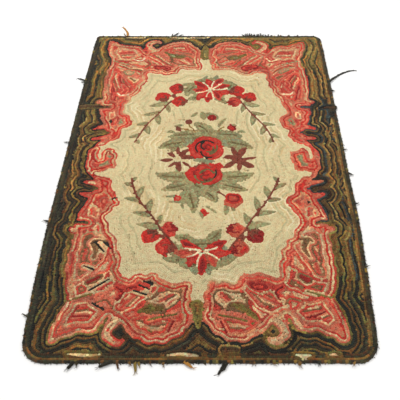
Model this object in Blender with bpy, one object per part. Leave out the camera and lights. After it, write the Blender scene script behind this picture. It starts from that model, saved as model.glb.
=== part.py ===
"""A hooked rag rug that lies flat on the floor: a mat of loops hooked through a burlap ground, a narrow cloth
binding sewn round its four edges, and the loose rag ends that stick out of the binding.

Metres, +Z up. The origin is the middle of the underside, +Y runs along the rug's length to its far end.
"""

import math

import bmesh
import bpy
from mathutils import Vector

# The mat and its outline
HALF_WIDTH = 0.468
HALF_LENGTH = 0.7235
PILE_HEIGHT = 0.0100
RIM_HEIGHT = 0.0074
RIM_ROLL = 0.024
RIPPLE = 0.0007
CORNER_RADII = {"far_right": 0.031, "far_left": 0.014, "near_left": 0.060, "near_right": 0.055}
CORNER_POINTS = 8
CORNERS = {
    # side across, side along, the angle in degrees at which its arc starts
    "near_right": (1, -1, 270.0),
    "far_right": (1, 1, 0.0),
    "far_left": (-1, 1, 90.0),
    "near_left": (-1, -1, 180.0),
}
EDGES = {
    # edge: the corner it starts from, the corner it runs to, pieces of its straight stretch
    "right": ("near_right", "far_right", 30),
    "far": ("far_right", "far_left", 20),
    "left": ("far_left", "near_left", 30),
    "near": ("near_left", "near_right", 20),
}
GRID_STEP = 0.060
RIM_LINES = (0.006, 0.016, 0.032)

# How far each long side swells past the plain rectangle, at places along the rug's length
SIDE_SWELL = (
    # y, left, right
    (-0.730, -0.003, -0.002),
    (-0.600, 0.005, 0.005),
    (-0.450, 0.010, 0.010),
    (-0.270, 0.013, 0.014),
    (0.000, 0.010, 0.009),
    (0.350, 0.008, 0.005),
    (0.600, 0.004, 0.001),
    (0.730, 0.000, -0.004),
)

# The binding
BINDING_WIDTH = 0.0070
BINDING_HEIGHT = 0.0072
BINDING_ROUND = 0.0030
ROUND_STEPS = 2
GAP = 0.0003
END_GAP = 0.0006

# The loose rag ends: strips of cloth that come out of the binding and lie on the floor
STRIP_WIDTH = 0.0040
STRIP_THICKNESS = 0.0014
ROOT_DEPTH = 0.0035
ROOT_HEIGHT = 0.0022
DROP_LENGTH = 0.0110
TIP_SHARE = 0.50
BEND_LENGTH = 0.0080
FEWEST_BENDS = 3

RAG_ENDS = {
    # place along the edge, reach out from it, shift of the tip along it, bow to the side, width share
    "far": (
        (-0.3500, 0.020, -0.009, 0.000, 0.80),
        (-0.3425, 0.070, -0.026, 0.008, 1.15),
        (-0.1550, 0.017, 0.001, 0.000, 0.70),
        (-0.1480, 0.026, 0.018, 0.000, 0.95),
        (-0.1235, 0.010, 0.010, 0.000, 0.90),
        (0.1450, 0.008, -0.003, 0.000, 1.10),
        (0.1530, 0.014, -0.002, 0.001, 1.00),
        (0.1605, 0.020, 0.000, -0.001, 1.00),
        (0.1675, 0.021, 0.002, 0.001, 0.90),
        (0.1750, 0.015, 0.004, 0.000, 1.10),
        (0.1840, 0.008, 0.004, 0.000, 1.20),
        (0.1930, 0.012, -0.002, 0.000, 1.00),
        (0.2010, 0.010, 0.001, 0.000, 1.10),
        (0.2095, 0.012, -0.001, 0.000, 1.00),
        (0.2170, 0.021, 0.000, 0.001, 0.80),
        (0.2240, 0.009, 0.004, 0.000, 1.00),
        (0.2390, 0.006, -0.003, 0.000, 1.10),
        (0.2480, 0.010, 0.001, 0.000, 1.00),
        (0.2600, 0.005, 0.004, 0.000, 0.90),
        (0.2900, 0.009, 0.002, 0.000, 0.90),
        (0.2990, 0.006, 0.003, 0.000, 1.00),
        (0.3320, 0.006, 0.004, 0.000, 0.90),
        (0.3720, 0.005, 0.000, 0.000, 1.00),
    ),
    "near": (
        (-0.3260, 0.016, -0.011, 0.000, 1.50),
        (-0.3160, 0.008, 0.001, 0.000, 0.90),
        (-0.2320, 0.011, -0.026, 0.000, 1.30),
        (-0.2125, 0.016, 0.005, 0.000, 0.80),
        (-0.1800, 0.004, 0.001, 0.000, 1.10),
        (-0.1655, 0.023, 0.003, 0.000, 1.30),
        (-0.1560, 0.009, 0.002, 0.000, 1.00),
        (-0.1270, 0.004, 0.000, 0.000, 1.00),
        (-0.0930, 0.006, 0.001, 0.000, 1.10),
        (-0.0340, 0.013, 0.015, 0.000, 1.40),
        (0.0640, 0.030, -0.015, 0.002, 1.30),
        (0.0730, 0.019, -0.009, 0.000, 1.00),
        (0.1420, 0.004, 0.000, 0.000, 1.00),
        (0.1930, 0.004, 0.001, 0.000, 1.20),
        (0.2590, 0.008, 0.000, 0.000, 1.40),
        (0.3080, 0.005, 0.001, 0.000, 0.90),
        (0.4000, 0.004, -0.001, 0.000, 1.20),
    ),
    "left": (
        (-0.5900, 0.012, 0.006, 0.000, 0.85),
        (-0.2620, 0.011, 0.004, 0.000, 1.10),
        (0.0880, 0.014, 0.001, 0.000, 0.90),
        (0.4170, 0.009, 0.001, 0.000, 0.90),
        (0.4250, 0.030, 0.020, 0.003, 0.95),
    ),
    "right": (
        (-0.4280, 0.007, 0.002, 0.000, 0.90),
        (-0.1900, 0.006, 0.001, 0.000, 1.00),
        (-0.0600, 0.012, -0.006, 0.000, 1.00),
        (0.0520, 0.006, 0.001, 0.000, 1.00),
        (0.3700, 0.006, -0.003, 0.000, 1.50),
        (0.4240, 0.106, 0.073, 0.016, 0.95),
    ),
}

COLOURS = {
    # name: red, green, blue, roughness
    "hooked_pile": (0.55, 0.33, 0.19, 0.95),
    "binding_cloth": (0.030, 0.028, 0.022, 0.92),
}


def eased(share):
    """A smooth step from 0 to 1."""
    share = min(max(share, 0.0), 1.0)
    return share * share * (3.0 - 2.0 * share)


def swell(y, column):
    """How far a long side stands out past the plain rectangle, at y."""
    for low, high in zip(SIDE_SWELL, SIDE_SWELL[1:]):
        if y <= high[0]:
            share = eased((y - low[0]) / (high[0] - low[0]))
            return low[column] + share * (high[column] - low[column])
    return SIDE_SWELL[-1][column]


def swollen(x, y):
    """A point of the plain rounded rectangle moved to its place on the real, slightly bulging rug."""
    column = 1 if x < 0 else 2
    return x * (1.0 + swell(y, column) / HALF_WIDTH), y


def corner_arc(name, inset):
    """The rounded corner of that name, counter-clockwise, on the outline drawn in by inset."""
    across, along, start = CORNERS[name]
    radius = CORNER_RADII[name] - inset
    centre_x = across * (HALF_WIDTH - CORNER_RADII[name])
    centre_y = along * (HALF_LENGTH - CORNER_RADII[name])
    arc = []
    for step in range(CORNER_POINTS):
        angle = math.radians(start + 90.0 * step / (CORNER_POINTS - 1))
        arc.append((centre_x + radius * math.cos(angle), centre_y + radius * math.sin(angle)))
    return arc


def halfway(a, b):
    return (a[0] + b[0]) / 2, (a[1] + b[1]) / 2


def edge_run(edge, inset):
    """One edge of the outline drawn in by inset, from the middle of a corner to the middle of the next one.

    Its first and last points lie half way along the middle piece of each corner's arc."""
    first, second, count = EDGES[edge]
    half = CORNER_POINTS // 2
    left, reached = corner_arc(first, inset), corner_arc(second, inset)
    leaving, arriving = left[half:], reached[:half]
    (x0, y0), (x1, y1) = leaving[-1], arriving[0]
    shares = [step / count for step in range(1, count)]
    straight = [(x0 + share * (x1 - x0), y0 + share * (y1 - y0)) for share in shares]
    start, finish = halfway(left[half - 1], left[half]), halfway(reached[half - 1], reached[half])
    return [swollen(x, y) for x, y in [start] + leaving + straight + arriving + [finish]]


def outline(inset):
    """The rug's edge, counter-clockwise, drawn in by inset all round."""
    points = []
    for edge in EDGES:
        points.extend(edge_run(edge, inset)[1:-1])
    return points


def edge_distance(x, y):
    """About how far a point of the mat lies inside the rug's edge."""
    column = 1 if x < 0 else 2
    across = HALF_WIDTH + swell(y, column) - abs(x)
    return min(across, HALF_LENGTH - abs(y))


def pile_height(x, y):
    """The height of the loops: level, a little uneven, and rolled down towards the edge."""
    uneven = math.sin(9.0 * x + 1.3) * math.sin(6.5 * y) + 0.6 * math.sin(17.0 * y + 11.0 * x)
    roll = eased(1.0 - edge_distance(x, y) / RIM_ROLL)
    level = PILE_HEIGHT + RIPPLE * uneven * (1.0 - roll)
    return level + roll * (RIM_HEIGHT - level)


def material(name):
    red, green, blue, roughness = COLOURS[name]
    made = bpy.data.materials.new(name)
    made.use_nodes = True
    shader = made.node_tree.nodes["Principled BSDF"]
    shader.inputs["Base Color"].default_value = (red, green, blue, 1.0)
    shader.inputs["Roughness"].default_value = roughness
    shader.inputs["Metallic"].default_value = 0.0
    return made


def add_object(name, data, collection):
    made = bpy.data.objects.new(name, data)
    collection.objects.link(made)
    return made


def as_cutter(made):
    """Marks an object as a cutter or a guide, which is no piece of the rug."""
    made.hide_render = True
    made.display_type = "WIRE"
    return made


def add_spline(curve, points, widths=None, closed=False):
    """A line of straight pieces through the points, with the share of the full width at each one."""
    spline = curve.splines.new("POLY")
    spline.points.add(len(points) - 1)
    spline.use_cyclic_u = closed
    for index, co in enumerate(points):
        spline.points[index].co = (*co, 1.0)
        spline.points[index].radius = widths[index] if widths else 1.0


def flat_curve(name, points):
    """A closed outline lying flat."""
    curve = bpy.data.curves.new(name, "CURVE")
    curve.dimensions = "2D"
    add_spline(curve, [(x, y, 0.0) for x, y in points], closed=True)
    return curve


def swept_curve(name, profile):
    """An empty curve that sweeps the profile upright along each spline, closed at both ends."""
    curve = bpy.data.curves.new(name, "CURVE")
    curve.dimensions = "3D"
    curve.twist_mode = "Z_UP"
    curve.bevel_mode = "OBJECT"
    curve.bevel_object = profile
    curve.use_fill_caps = True
    return curve


def prism(name, points, low, high, collection):
    """An upright block with the given outline, from a flat filled curve."""
    curve = flat_curve(name, points)
    curve.fill_mode = "BOTH"
    curve.extrude = (high - low) / 2
    flat = add_object(name + "_curve", curve, collection)
    flat.location.z = (high + low) / 2
    return meshed(flat, name, collection)


def meshed(source, name, collection):
    """The evaluated mesh of a curve object as a closed mesh object in its place. The curve is removed."""
    bpy.context.view_layer.update()
    evaluated = source.evaluated_get(bpy.context.evaluated_depsgraph_get())
    mesh = bpy.data.meshes.new_from_object(evaluated)
    mesh.transform(source.matrix_world)
    work = bmesh.new()
    work.from_mesh(mesh)
    bmesh.ops.remove_doubles(work, verts=work.verts, dist=1e-6)
    bmesh.ops.recalc_face_normals(work, faces=work.faces)
    work.to_mesh(mesh)
    work.free()
    bpy.data.objects.remove(source)
    return add_object(name, mesh, collection)


def boolean(target, operation, cutter):
    modifier = target.modifiers.new(operation.lower(), "BOOLEAN")
    modifier.operation = operation
    modifier.solver = "EXACT"
    modifier.object = cutter


def grid_places(half):
    """Places of the grid lines across the mat: close together at the rim, wide apart inside."""
    inner = half - RIM_LINES[-1]
    count = round(2 * inner / GRID_STEP)
    inside = [-inner + 2 * inner * step / count for step in range(count + 1)]
    rim = [half - line for line in RIM_LINES[:-1]]
    outside = half + BINDING_WIDTH
    return [-outside] + [-place for place in rim] + inside + rim[::-1] + [outside]


def add_mat(collection, cutters):
    """The hooked mat: a slab with an uneven top and a flat underside, trimmed to the rug's outline."""
    widest = max(max(left, right) for _, left, right in SIDE_SWELL)
    across = grid_places(HALF_WIDTH + widest)
    along = grid_places(HALF_LENGTH)
    work = bmesh.new()
    bmesh.ops.create_grid(work, x_segments=len(across) - 1, y_segments=len(along) - 1, size=0.5)
    for vertex in work.verts:
        column = round((vertex.co.x + 0.5) * (len(across) - 1))
        row = round((vertex.co.y + 0.5) * (len(along) - 1))
        x, y = across[column], along[row]
        vertex.co = Vector((x, y, pile_height(x, y)))
    top = list(work.faces)
    lower = bmesh.ops.extrude_face_region(work, geom=top)
    under = [item for item in lower["geom"] if isinstance(item, bmesh.types.BMFace)]
    for vertex in {corner for face in under for corner in face.verts}:
        vertex.co.z = 0.0
    bmesh.ops.dissolve_faces(work, faces=under)
    bmesh.ops.recalc_face_normals(work, faces=work.faces)
    mesh = bpy.data.meshes.new("rug_mat")
    work.to_mesh(mesh)
    work.free()
    mat = add_object("rug_mat", mesh, collection)
    trim = prism("mat_trim", outline(BINDING_WIDTH + GAP), -0.01, 0.03, cutters)
    boolean(mat, "INTERSECT", as_cutter(trim))
    mat.data.materials.append(material("hooked_pile"))
    return mat


def edge_frame(edge, place):
    """A point on the outline of an edge at a place along it, with the way out and the way along."""
    if edge in ("far", "near"):
        side = 1.0 if edge == "far" else -1.0
        return Vector((place, side * HALF_LENGTH, 0.0)), Vector((0.0, side, 0.0)), Vector((1.0, 0.0, 0.0))
    side, column = (1.0, 2) if edge == "right" else (-1.0, 1)
    reach = HALF_WIDTH + swell(place, column)
    return Vector((side * reach, place, 0.0)), Vector((side, 0.0, 0.0)), Vector((0.0, 1.0, 0.0))


def rag_end_path(edge, row):
    """The middle line of a loose end: out of the binding, down to the floor, and level along it.

    Each place is given with the share of the strip's full width that it has there."""
    place, reach, shift, bow, width = row
    foot, out, along = edge_frame(edge, place)
    drop = min(DROP_LENGTH, 0.7 * reach)
    first_way = out + along * (shift + 4.0 * bow) / reach
    path = [(foot - first_way * ROOT_DEPTH + Vector((0.0, 0.0, ROOT_HEIGHT)), width)]
    steps = max(FEWEST_BENDS, round(math.hypot(reach, shift) / BEND_LENGTH))
    for step in range(1, steps + 1):
        share = step / steps
        here = width * (1.0 - (1.0 - TIP_SHARE) * share)
        rest = here * STRIP_THICKNESS / 2
        height = rest + (ROOT_HEIGHT - rest) * (1.0 - eased(reach * share / drop))
        sideways = shift * share + bow * 4.0 * share * (1.0 - share)
        path.append((foot + out * reach * share + along * sideways + Vector((0.0, 0.0, height)), here))
    return path


def add_rag_ends(edge, profile, cutters):
    """All the loose ends of one edge as one mesh of separate tapering strips, each with four sides."""
    curve = swept_curve("rag_ends_" + edge, profile)
    for row in RAG_ENDS[edge]:
        path = rag_end_path(edge, row)
        add_spline(curve, [co for co, _ in path], [width for _, width in path])
    return meshed(add_object("rag_ends_curve_" + edge, curve, cutters), "rag_ends_" + edge, cutters)


def strip_profile(cutters):
    """The cross-section of a rag strip, a flat rectangle."""
    half, thin = STRIP_WIDTH / 2, STRIP_THICKNESS / 2
    corners = ((-half, -thin), (half, -thin), (half, thin), (-half, thin))
    return as_cutter(add_object("strip_profile", flat_curve("strip_profile", corners), cutters))


def binding_profile(cutters):
    """The cross-section of the folded binding: flat below, rounded over its top."""
    half, low = BINDING_WIDTH / 2, BINDING_HEIGHT - BINDING_ROUND
    rounding = []
    for turn in range(ROUND_STEPS + 1):
        angle = math.radians(90.0 * turn / ROUND_STEPS)
        across = half - BINDING_ROUND + BINDING_ROUND * math.cos(angle)
        rounding.append((across, low + BINDING_ROUND * math.sin(angle)))
    mirrored = [(-x, y) for x, y in reversed(rounding)]
    points = [(-half, 0.0), (half, 0.0)] + rounding + mirrored
    return as_cutter(add_object("binding_profile", flat_curve("binding_profile", points), cutters))


def add_binding(edge, profiles, collection, cutters):
    """One strip of the binding with its loose rag ends fused into it by their roots."""
    binding, rag = profiles
    path = [Vector((x, y, 0.0)) for x, y in edge_run(edge, BINDING_WIDTH / 2)]
    path[0] += (path[1] - path[0]).normalized() * END_GAP / 2
    path[-1] += (path[-2] - path[-1]).normalized() * END_GAP / 2
    curve = swept_curve("binding_" + edge, binding)
    add_spline(curve, path)
    strip = meshed(add_object("binding_curve_" + edge, curve, collection), "binding_" + edge, collection)
    boolean(strip, "UNION", as_cutter(add_rag_ends(edge, rag, cutters)))
    strip.data.materials.append(material("binding_cloth"))
    return strip


def main():
    for old in list(bpy.data.objects):
        bpy.data.objects.remove(old)
    rug = bpy.data.collections.new("hooked_rug")
    cutters = bpy.data.collections.new("cutters")
    bpy.context.scene.collection.children.link(rug)
    bpy.context.scene.collection.children.link(cutters)
    add_mat(rug, cutters)
    profiles = binding_profile(cutters), strip_profile(cutters)
    for edge in EDGES:
        add_binding(edge, profiles, rug, cutters)


main()
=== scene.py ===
"""The looks of a hooked rag rug: thousands of rag loops pulled up through burlap along rows that echo the
scrolls and flowers of its chart, a bound edge, and loose rag ends.

The chart is laid out in millimetres on the rug, x across it and y along it from its middle. Leaves, petals and
scroll arms are all limbs: circles joined along a smooth line. Every region is then filled as a rug hooker fills
it, with rows that run parallel to its outline.
"""

import math

import bmesh
import bpy
import numpy as np
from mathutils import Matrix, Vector


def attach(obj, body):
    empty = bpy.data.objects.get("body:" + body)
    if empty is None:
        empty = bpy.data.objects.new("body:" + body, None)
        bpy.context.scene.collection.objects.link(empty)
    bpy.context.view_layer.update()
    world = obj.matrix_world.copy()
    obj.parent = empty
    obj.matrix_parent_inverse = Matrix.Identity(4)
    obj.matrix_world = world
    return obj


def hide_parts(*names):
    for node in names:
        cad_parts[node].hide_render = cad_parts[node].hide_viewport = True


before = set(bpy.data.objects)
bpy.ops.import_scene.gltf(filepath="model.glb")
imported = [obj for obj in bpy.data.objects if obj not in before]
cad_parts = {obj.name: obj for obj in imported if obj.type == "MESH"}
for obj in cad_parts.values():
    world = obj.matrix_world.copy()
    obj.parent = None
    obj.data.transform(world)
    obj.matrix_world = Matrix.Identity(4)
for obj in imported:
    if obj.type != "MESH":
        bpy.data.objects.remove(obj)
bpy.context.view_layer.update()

# Sizes, in metres
ROW = 0.0058
LOOP_PITCH = 0.0054
LOOP_WIDTH = 0.0072
BURLAP_TOP = 0.0030
PILE_HEIGHT = 0.0100
RIM_HEIGHT = 0.0074
RIM_ROLL = 0.024
RIPPLE = 0.0007
MILLIMETRE = 0.001

# The rug's outline, as the solids have it
HALF_WIDTH = 0.468
HALF_LENGTH = 0.7235
BINDING_WIDTH = 0.0070
BINDING_HEIGHT = 0.0072
CORNERS = (
    # side across, side along, radius, the angle in degrees at which its arc starts
    (1, 1, 0.031, 0.0),
    (-1, 1, 0.014, 90.0),
    (-1, -1, 0.060, 180.0),
    (1, -1, 0.055, 270.0),
)
SIDE_SWELL = (
    # y, left, right
    (-0.730, -0.003, -0.002),
    (-0.600, 0.005, 0.005),
    (-0.450, 0.010, 0.010),
    (-0.270, 0.013, 0.014),
    (0.000, 0.010, 0.009),
    (0.350, 0.008, 0.005),
    (0.600, 0.004, 0.001),
    (0.730, 0.000, -0.004),
)

# Yarn colours, as they look in daylight: red, green and blue out of 255
YARNS = {
    "c": (211, 193, 147),  # cream
    "w": (224, 207, 165),  # pale cream
    "y": (204, 180, 131),  # straw
    "l": (188, 175, 131),  # grey-sage line
    "g": (144, 134, 92),  # sage
    "f": (160, 148, 104),  # faded sage
    "e": (108, 94, 56),  # dark sage
    "v": (138, 136, 100),  # grey sage
    "r": (184, 43, 31),  # red
    "m": (140, 31, 25),  # crimson
    "h": (124, 60, 42),  # maroon
    "k": (181, 84, 58),  # pink
    "i": (188, 64, 48),  # brick red
    "s": (197, 105, 77),  # salmon
    "p": (199, 138, 98),  # peach
    "q": (209, 166, 121),  # pale peach
    "d": (130, 90, 56),  # dusty brown
    "b": (36, 33, 23),  # black
    "j": (57, 50, 31),  # charcoal
    "n": (106, 76, 35),  # brown
    "u": (78, 53, 28),  # umber
    "t": (142, 108, 54),  # tan
    "a": (164, 114, 48),  # ochre
    "o": (120, 99, 45),  # olive
    "z": (58, 61, 56),  # slate
    "x": (212, 186, 134),  # bare burlap
}

# The chart is folded in four. One quarter of it is drawn, with x towards its side and y towards its end, and laid
# over into each corner, where it comes out a little larger or smaller, as by hand.
QUARTERS = (
    # side across, side along, stretch across, stretch along, shift of its middle at the end
    (1, 1, 0.985, 1.000, -14),
    (1, -1, 0.990, 0.988, -10),
    (-1, -1, 1.012, 0.992, -10),
    (-1, 1, 1.020, 1.004, -14),
)
DRIFT = 6.0

# The two edges of the band of scrolls in the quarter, from the middle of its end to the middle of its side
SCROLLS_OUTSIDE = (
    (22, 560), (14, 592), (24, 630), (56, 662), (98, 678), (140, 670), (178, 646), (222, 606), (268, 642),
    (330, 650), (396, 678), (398, 615), (374, 545), (386, 470), (390, 390), (388, 330), (384, 258), (374, 205),
    (356, 150), (342, 116), (370, 76), (392, 36),
)
SCROLLS_INSIDE = (
    (16, 560), (18, 520), (34, 488), (100, 492), (128, 464), (168, 458), (222, 470), (232, 420), (246, 370),
    (270, 324), (292, 280), (298, 244), (268, 205), (270, 178), (294, 145), (304, 104), (338, 76), (362, 60),
    (332, 52), (300, 34),
)
SCALLOP_PITCH = 0.058
OUTER_SCALLOP = 0.0045
INNER_SCALLOP = 0.0085

# Curls that stand out from the band in the quarter, and the slots cut between them, as circles
CURLS = (
    ((208, 606, 14), (230, 626, 14), (239, 650, 14), (224, 668, 13), (203, 674, 10), (190, 664, 6)),
    ((368, 302, 16), (394, 296, 11)),
    ((328, 154, 18), (360, 164, 13), (394, 152, 5)),
    ((328, 120, 16), (352, 106, 12), (392, 101, 5)),
)
SLOTS = (
    ((172, 676, 6), (190, 652, 5), (208, 648, 6), (210, 638, 3)),
    ((268, 660, 8), (260, 632, 5), (247, 610, 4), (240, 598, 2)),
    ((406, 272, 7), (376, 268, 7), (350, 270, 4)),
    ((400, 128, 7), (368, 131, 8), (344, 132, 6)),
)

# Limbs of the scrolls in the quarter, the later ones on top: yarns of the rings from the outside in, then after a
# bar the yarns of the rows that run along the limb inside them, first at the far end and then at the near end,
# and circles (x, y, radius)
SCROLL_LIMBS = (
    ("pqs|isqdsi", "sqi|sqdism", ((352, 588, 40), (322, 594, 48), (288, 602, 32), (252, 607, 12))),
    ("si|qdsqip", "si|qdsqiop", ((172, 622, 16), (130, 632, 42), (85, 626, 46), (48, 606, 32))),
    ("ds|qsiq", "dq|isqd", ((124, 576, 18), (90, 550, 30), (60, 522, 30))),
    ("og", "oo", ((165, 594, 6), (130, 580, 9), (92, 566, 5))),
    ("s|qsidqsi", "qi|sqdsi", ((226, 570, 16), (205, 552, 30), (172, 528, 36), (148, 506, 32))),
    ("mi", "im", ((192, 500, 13), (158, 500, 19))),
    ("s|dqsqi", "qid|sqi", ((352, 510, 20), (310, 502, 28), (270, 490, 26), (248, 458, 17))),
    ("gpq", "dm", ((304, 482, 13), (288, 476, 13))),
    ("si|qsimsdi", "qsd|qsisqsi", ((346, 440, 36), (338, 392, 54), (320, 350, 48), (310, 314, 26))),
    ("i", "d", ((318, 402, 5), (312, 372, 8), (320, 345, 5))),
    ("m", "b", ((390, 297, 8),)),
    ("sq", "q|siqs", ((306, 288, 20), (334, 254, 22), (344, 222, 18))),
    ("sgi", "sis", ((298, 208, 22), (300, 186, 19))),
    ("b", "b", ((342, 194, 8),)),
    ("sid", "siq", ((388, 153, 6), (358, 163, 13), (328, 152, 17), (328, 124, 17), (350, 108, 12), (386, 102, 5))),
)

# Limbs at the middle of a side, drawn once and laid over to the other one
SIDE_LIMBS = (
    ("gqsi", ((322, 30, 12), (328, 0, 16), (336, -34, 12))),
)
SIDE_SLOT = ((336, 66, 6), (354, 50, 7), (360, 28, 6), (358, 6, 4))

# Single rows hooked over the scrolls of the quarter: yarns at the far end and the near end, then places
SCROLL_VEINS = (
    ("g", "o", ((365, 545), (330, 532), (300, 520))),
    ("d", "o", ((130, 612), (100, 602), (56, 592))),
    ("i", "m", ((76, 645), (62, 612))),
    ("d", "m", ((236, 502), (216, 520), (226, 545))),
    ("w", "d", ((282, 548), (256, 541), (240, 560))),
    ("w", "d", ((288, 340), (318, 337), (330, 350))),
)

# Short black rows in the near left scrolls: x, y, angle in degrees and length
DASHES = (
    (-306, -362, -50, 42), (-286, -354, -45, 34), (-330, -434, -20, 28), (-286, -172, 20, 16), (-152, -486, -25, 26),
    (-162, -500, -25, 32), (-172, -518, -20, 38), (-286, -560, -30, 34), (-290, -492, 35, 62),
)

# Leaves of the bouquet, as limbs: pairs drawn on one side and laid over to the other, then single ones
LEAF_PAIRS = (
    ("gvf", ((57, 88, 21), (92, 83, 27), (131, 71, 16), (163, 54, 2))),
    ("gfv", ((26, 124, 15), (60, 123, 21), (96, 120, 15), (129, 111, 3))),
    ("g", ((96, 64, 12), (111, 49, 8), (116, 37, 2))),
    ("gfv", ((54, -80, 19), (98, -78, 24), (136, -73, 14), (162, -61, 2))),
    ("gfv", ((48, -111, 18), (88, -120, 20), (117, -129, 12), (142, -135, 2))),
    ("g", ((82, 172, 3), (96, 172, 5), (112, 166, 3))),
    ("g", ((112, 134, 3), (126, 138, 7), (138, 134, 3))),
)
LEAVES = (
    ("gvfg", ((-60, 92, 26), (0, 130, 26), (64, 92, 26))),
    ("gvfg", ((-62, -84, 24), (0, -128, 34), (64, -84, 24))),
    ("gfe", ((-36, 176, 11), (-22, 166, 17), (2, 142, 27), (0, 118, 18))),
    ("gfe", ((-48, -135, 18), (-42, -170, 24), (-34, -202, 13), (-32, -232, 2))),
    ("gfe", ((0, -140, 20), (24, -160, 20), (38, -188, 4))),
    ("g", ((-68, -150, 8), (-80, -170, 6), (-88, -186, 2))),
    ("g", ((-60, -165, 12), (-72, -190, 6), (-62, -222, 2))),
    ("g", ((-130, -164, 2), (-108, -164, 5), (-88, -160, 3))),
    ("g", ((-112, -187, 2), (-86, -188, 5), (-66, -190, 3))),
    ("g", ((68, -200, 5), (70, -220, 9), (68, -236, 3))),
    ("g", ((90, -206, 4), (91, -216, 7))),
    ("g", ((-14, -222, 3), (-6, -238, 5), (4, -258, 2))),
    ("g", ((8, -205, 3), (22, -216, 4), (38, -230, 2))),
    ("g", ((-8, 200, 4), (-14, 220, 10), (-18, 240, 4))),
    ("g", ((-56, 214, 3), (-42, 226, 7), (-33, 241, 3))),
    ("g", ((2, 226, 13), (24, 211, 21))),
    ("g", ((44, 164, 3), (54, 185, 8), (70, 207, 3))),
    ("l", ((-108, 201, 2), (-92, 199, 5), (-78, 200, 3))),
    ("v", ((-36, -4, 5), (0, -5, 8), (28, -5, 5))),
)

# Leaves round each of the two lilies at the ends, from its middle, with y towards the end of the rug
COLLAR = (
    ("gvf", ((-70, 6, 18), (-38, -20, 19), (0, -24, 16), (38, -22, 17), (60, 4, 18))),
    ("gvf", ((-70, 34, 12), (-30, 48, 20), (26, 50, 20), (68, 36, 12))),
    ("gf", ((-62, 24, 11), (-80, 2, 17), (-88, -24, 9))),
    ("g", ((-60, 34, 10), (-94, 32, 9), (-114, 28, 3))),
    ("gfe", ((-36, -36, 11), (-54, -44, 17), (-80, -52, 6))),
    ("gfe", ((14, -38, 10), (34, -50, 17), (54, -76, 3))),
    ("vg", ((50, -14, 10), (68, 14, 18), (88, 30, 8))),
    ("g", ((40, 42, 9), (68, 42, 10), (96, 26, 4))),
    ("v", ((-26, 68, 9), (-18, 80, 6))),
    ("v", ((18, 68, 10), (22, 80, 6))),
)

# Lilies: middle, angle of the first petal, angle from one to the next, number of petals, their length and half
# width, how far from the middle they start, how blunt their tips are, and yarns of their rings, petal by petal
LILIES = (
    ((14, 368), 22, 40, 9, 74, 14, 0.10, 0.45, ("rm", "im", "ri")),
    ((0, -374), 150, 40, 7, 77, 14, 0.10, 0.45, ("rm", "ki", "ri")),
    ((-92, 4), 50, 45, 8, 62, 8, 0.22, 0.20, ("h",)),
    ((114, 2), 66, 51, 7, 64, 10, 0.04, 0.15, ("h",)),
)

# The stem of a spray in the quarter, from its blossoms to its tip, and its leaves: share of the way along it,
# side, length and half width
STEM = ((130, 302), (148, 272), (168, 240), (196, 198), (217, 158), (230, 120), (240, 86))
STEM_ROOT = ((78, 372), (104, 336))
SPRAY_LEAVES = (
    (0.02, 1, 78, 13), (0.08, -1, 50, 9), (0.26, 1, 66, 10), (0.33, -1, 62, 11), (0.52, 1, 58, 9),
    (0.60, -1, 56, 11), (0.80, 1, 48, 8), (0.92, -1, 28, 8),
)
LEAF_ANGLE = 42.0
WIDE_LEAF = 14.0
LEAF_TEETH = 0.0052
LOBES = 0.0040
FOLD_YARN = {"r": "h", "i": "m", "k": "m", "m": "h"}
TOOTH_PITCH = 0.013

# Blossoms of the spray: x, y and radius, then yarns of their rings in the order of the quarters
BLOSSOMS = (
    (122, 328, 9, ("hh", "hh", "hh", "hh")),
    (110, 367, 28, ("rrr", "krik", "rir", "rrr")),
    (158, 324, 27, ("rrir", "mmm", "rri", "rri")),
    (101, 299, 27, ("ikri", "kik", "irr", "rri")),
)

# Roses, buds and berries, as limbs
FLOWERS = (
    ("r", ((-46, 64, 14),)),
    ("rirmir", ((-20, 40, 36), (4, 66, 48), (24, 40, 38))),
    ("rirmir", ((-24, -66, 40), (4, -60, 46), (16, -72, 40))),
    ("r", ((-46, -66, 18), (-56, -64, 10))),
    ("r", ((46, -24, 10), (56, -34, 6))),
    ("kik", ((80, -186, 17), (96, -192, 16), (110, -178, 16))),
    ("rmikh", ((84, -166, 18), (94, -172, 22), (106, -164, 15))),
    ("mmr", ((20, 210, 16),)),
    ("mr", ((88, 159, 13), (98, 151, 11))),
    ("h", ((-62, 188, 13),)),
    ("h", ((-99, 152, 11),)),
    ("rs", ((-86, -172, 12),)),
    ("r", ((-4, -216, 5), (2, -228, 7), (6, -240, 3))),
    ("r", ((2, -224, 3), (14, -232, 4))),
)

# Folds of the two roses, as arcs: yarn, middle, radius, and first and last angle in degrees
ROSE_FOLDS = (
    ("b", 0, 58, 34, 40, 215), ("b", 14, 40, 30, 185, 285), ("b", 2, 66, 18, 120, 250), ("e", 6, 58, 34, -75, 15),
    ("e", 10, 54, 17, -110, 20), ("m", 8, 62, 9, 0, 240),
    ("h", -6, -50, 30, 30, 150), ("e", 0, -68, 33, 190, 330), ("e", 6, -66, 22, 10, 170), ("b", 2, -60, 36, -40, 20),
    ("h", 4, -74, 16, 180, 330), ("m", -22, -62, 15, 90, 250), ("m", 4, -64, 9, 100, 330),
)

# Thin stems: yarn, then places along each
TWIGS = (
    ("t", ((-61, 174), (-58, 162), (-46, 150), (-40, 138))),
    ("t", ((44, 142), (50, 152), (62, 160))),
    ("t", ((-88, 152), (-66, 150))),
    ("h", ((46, -142), (56, -152), (66, -160))),
)

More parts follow.
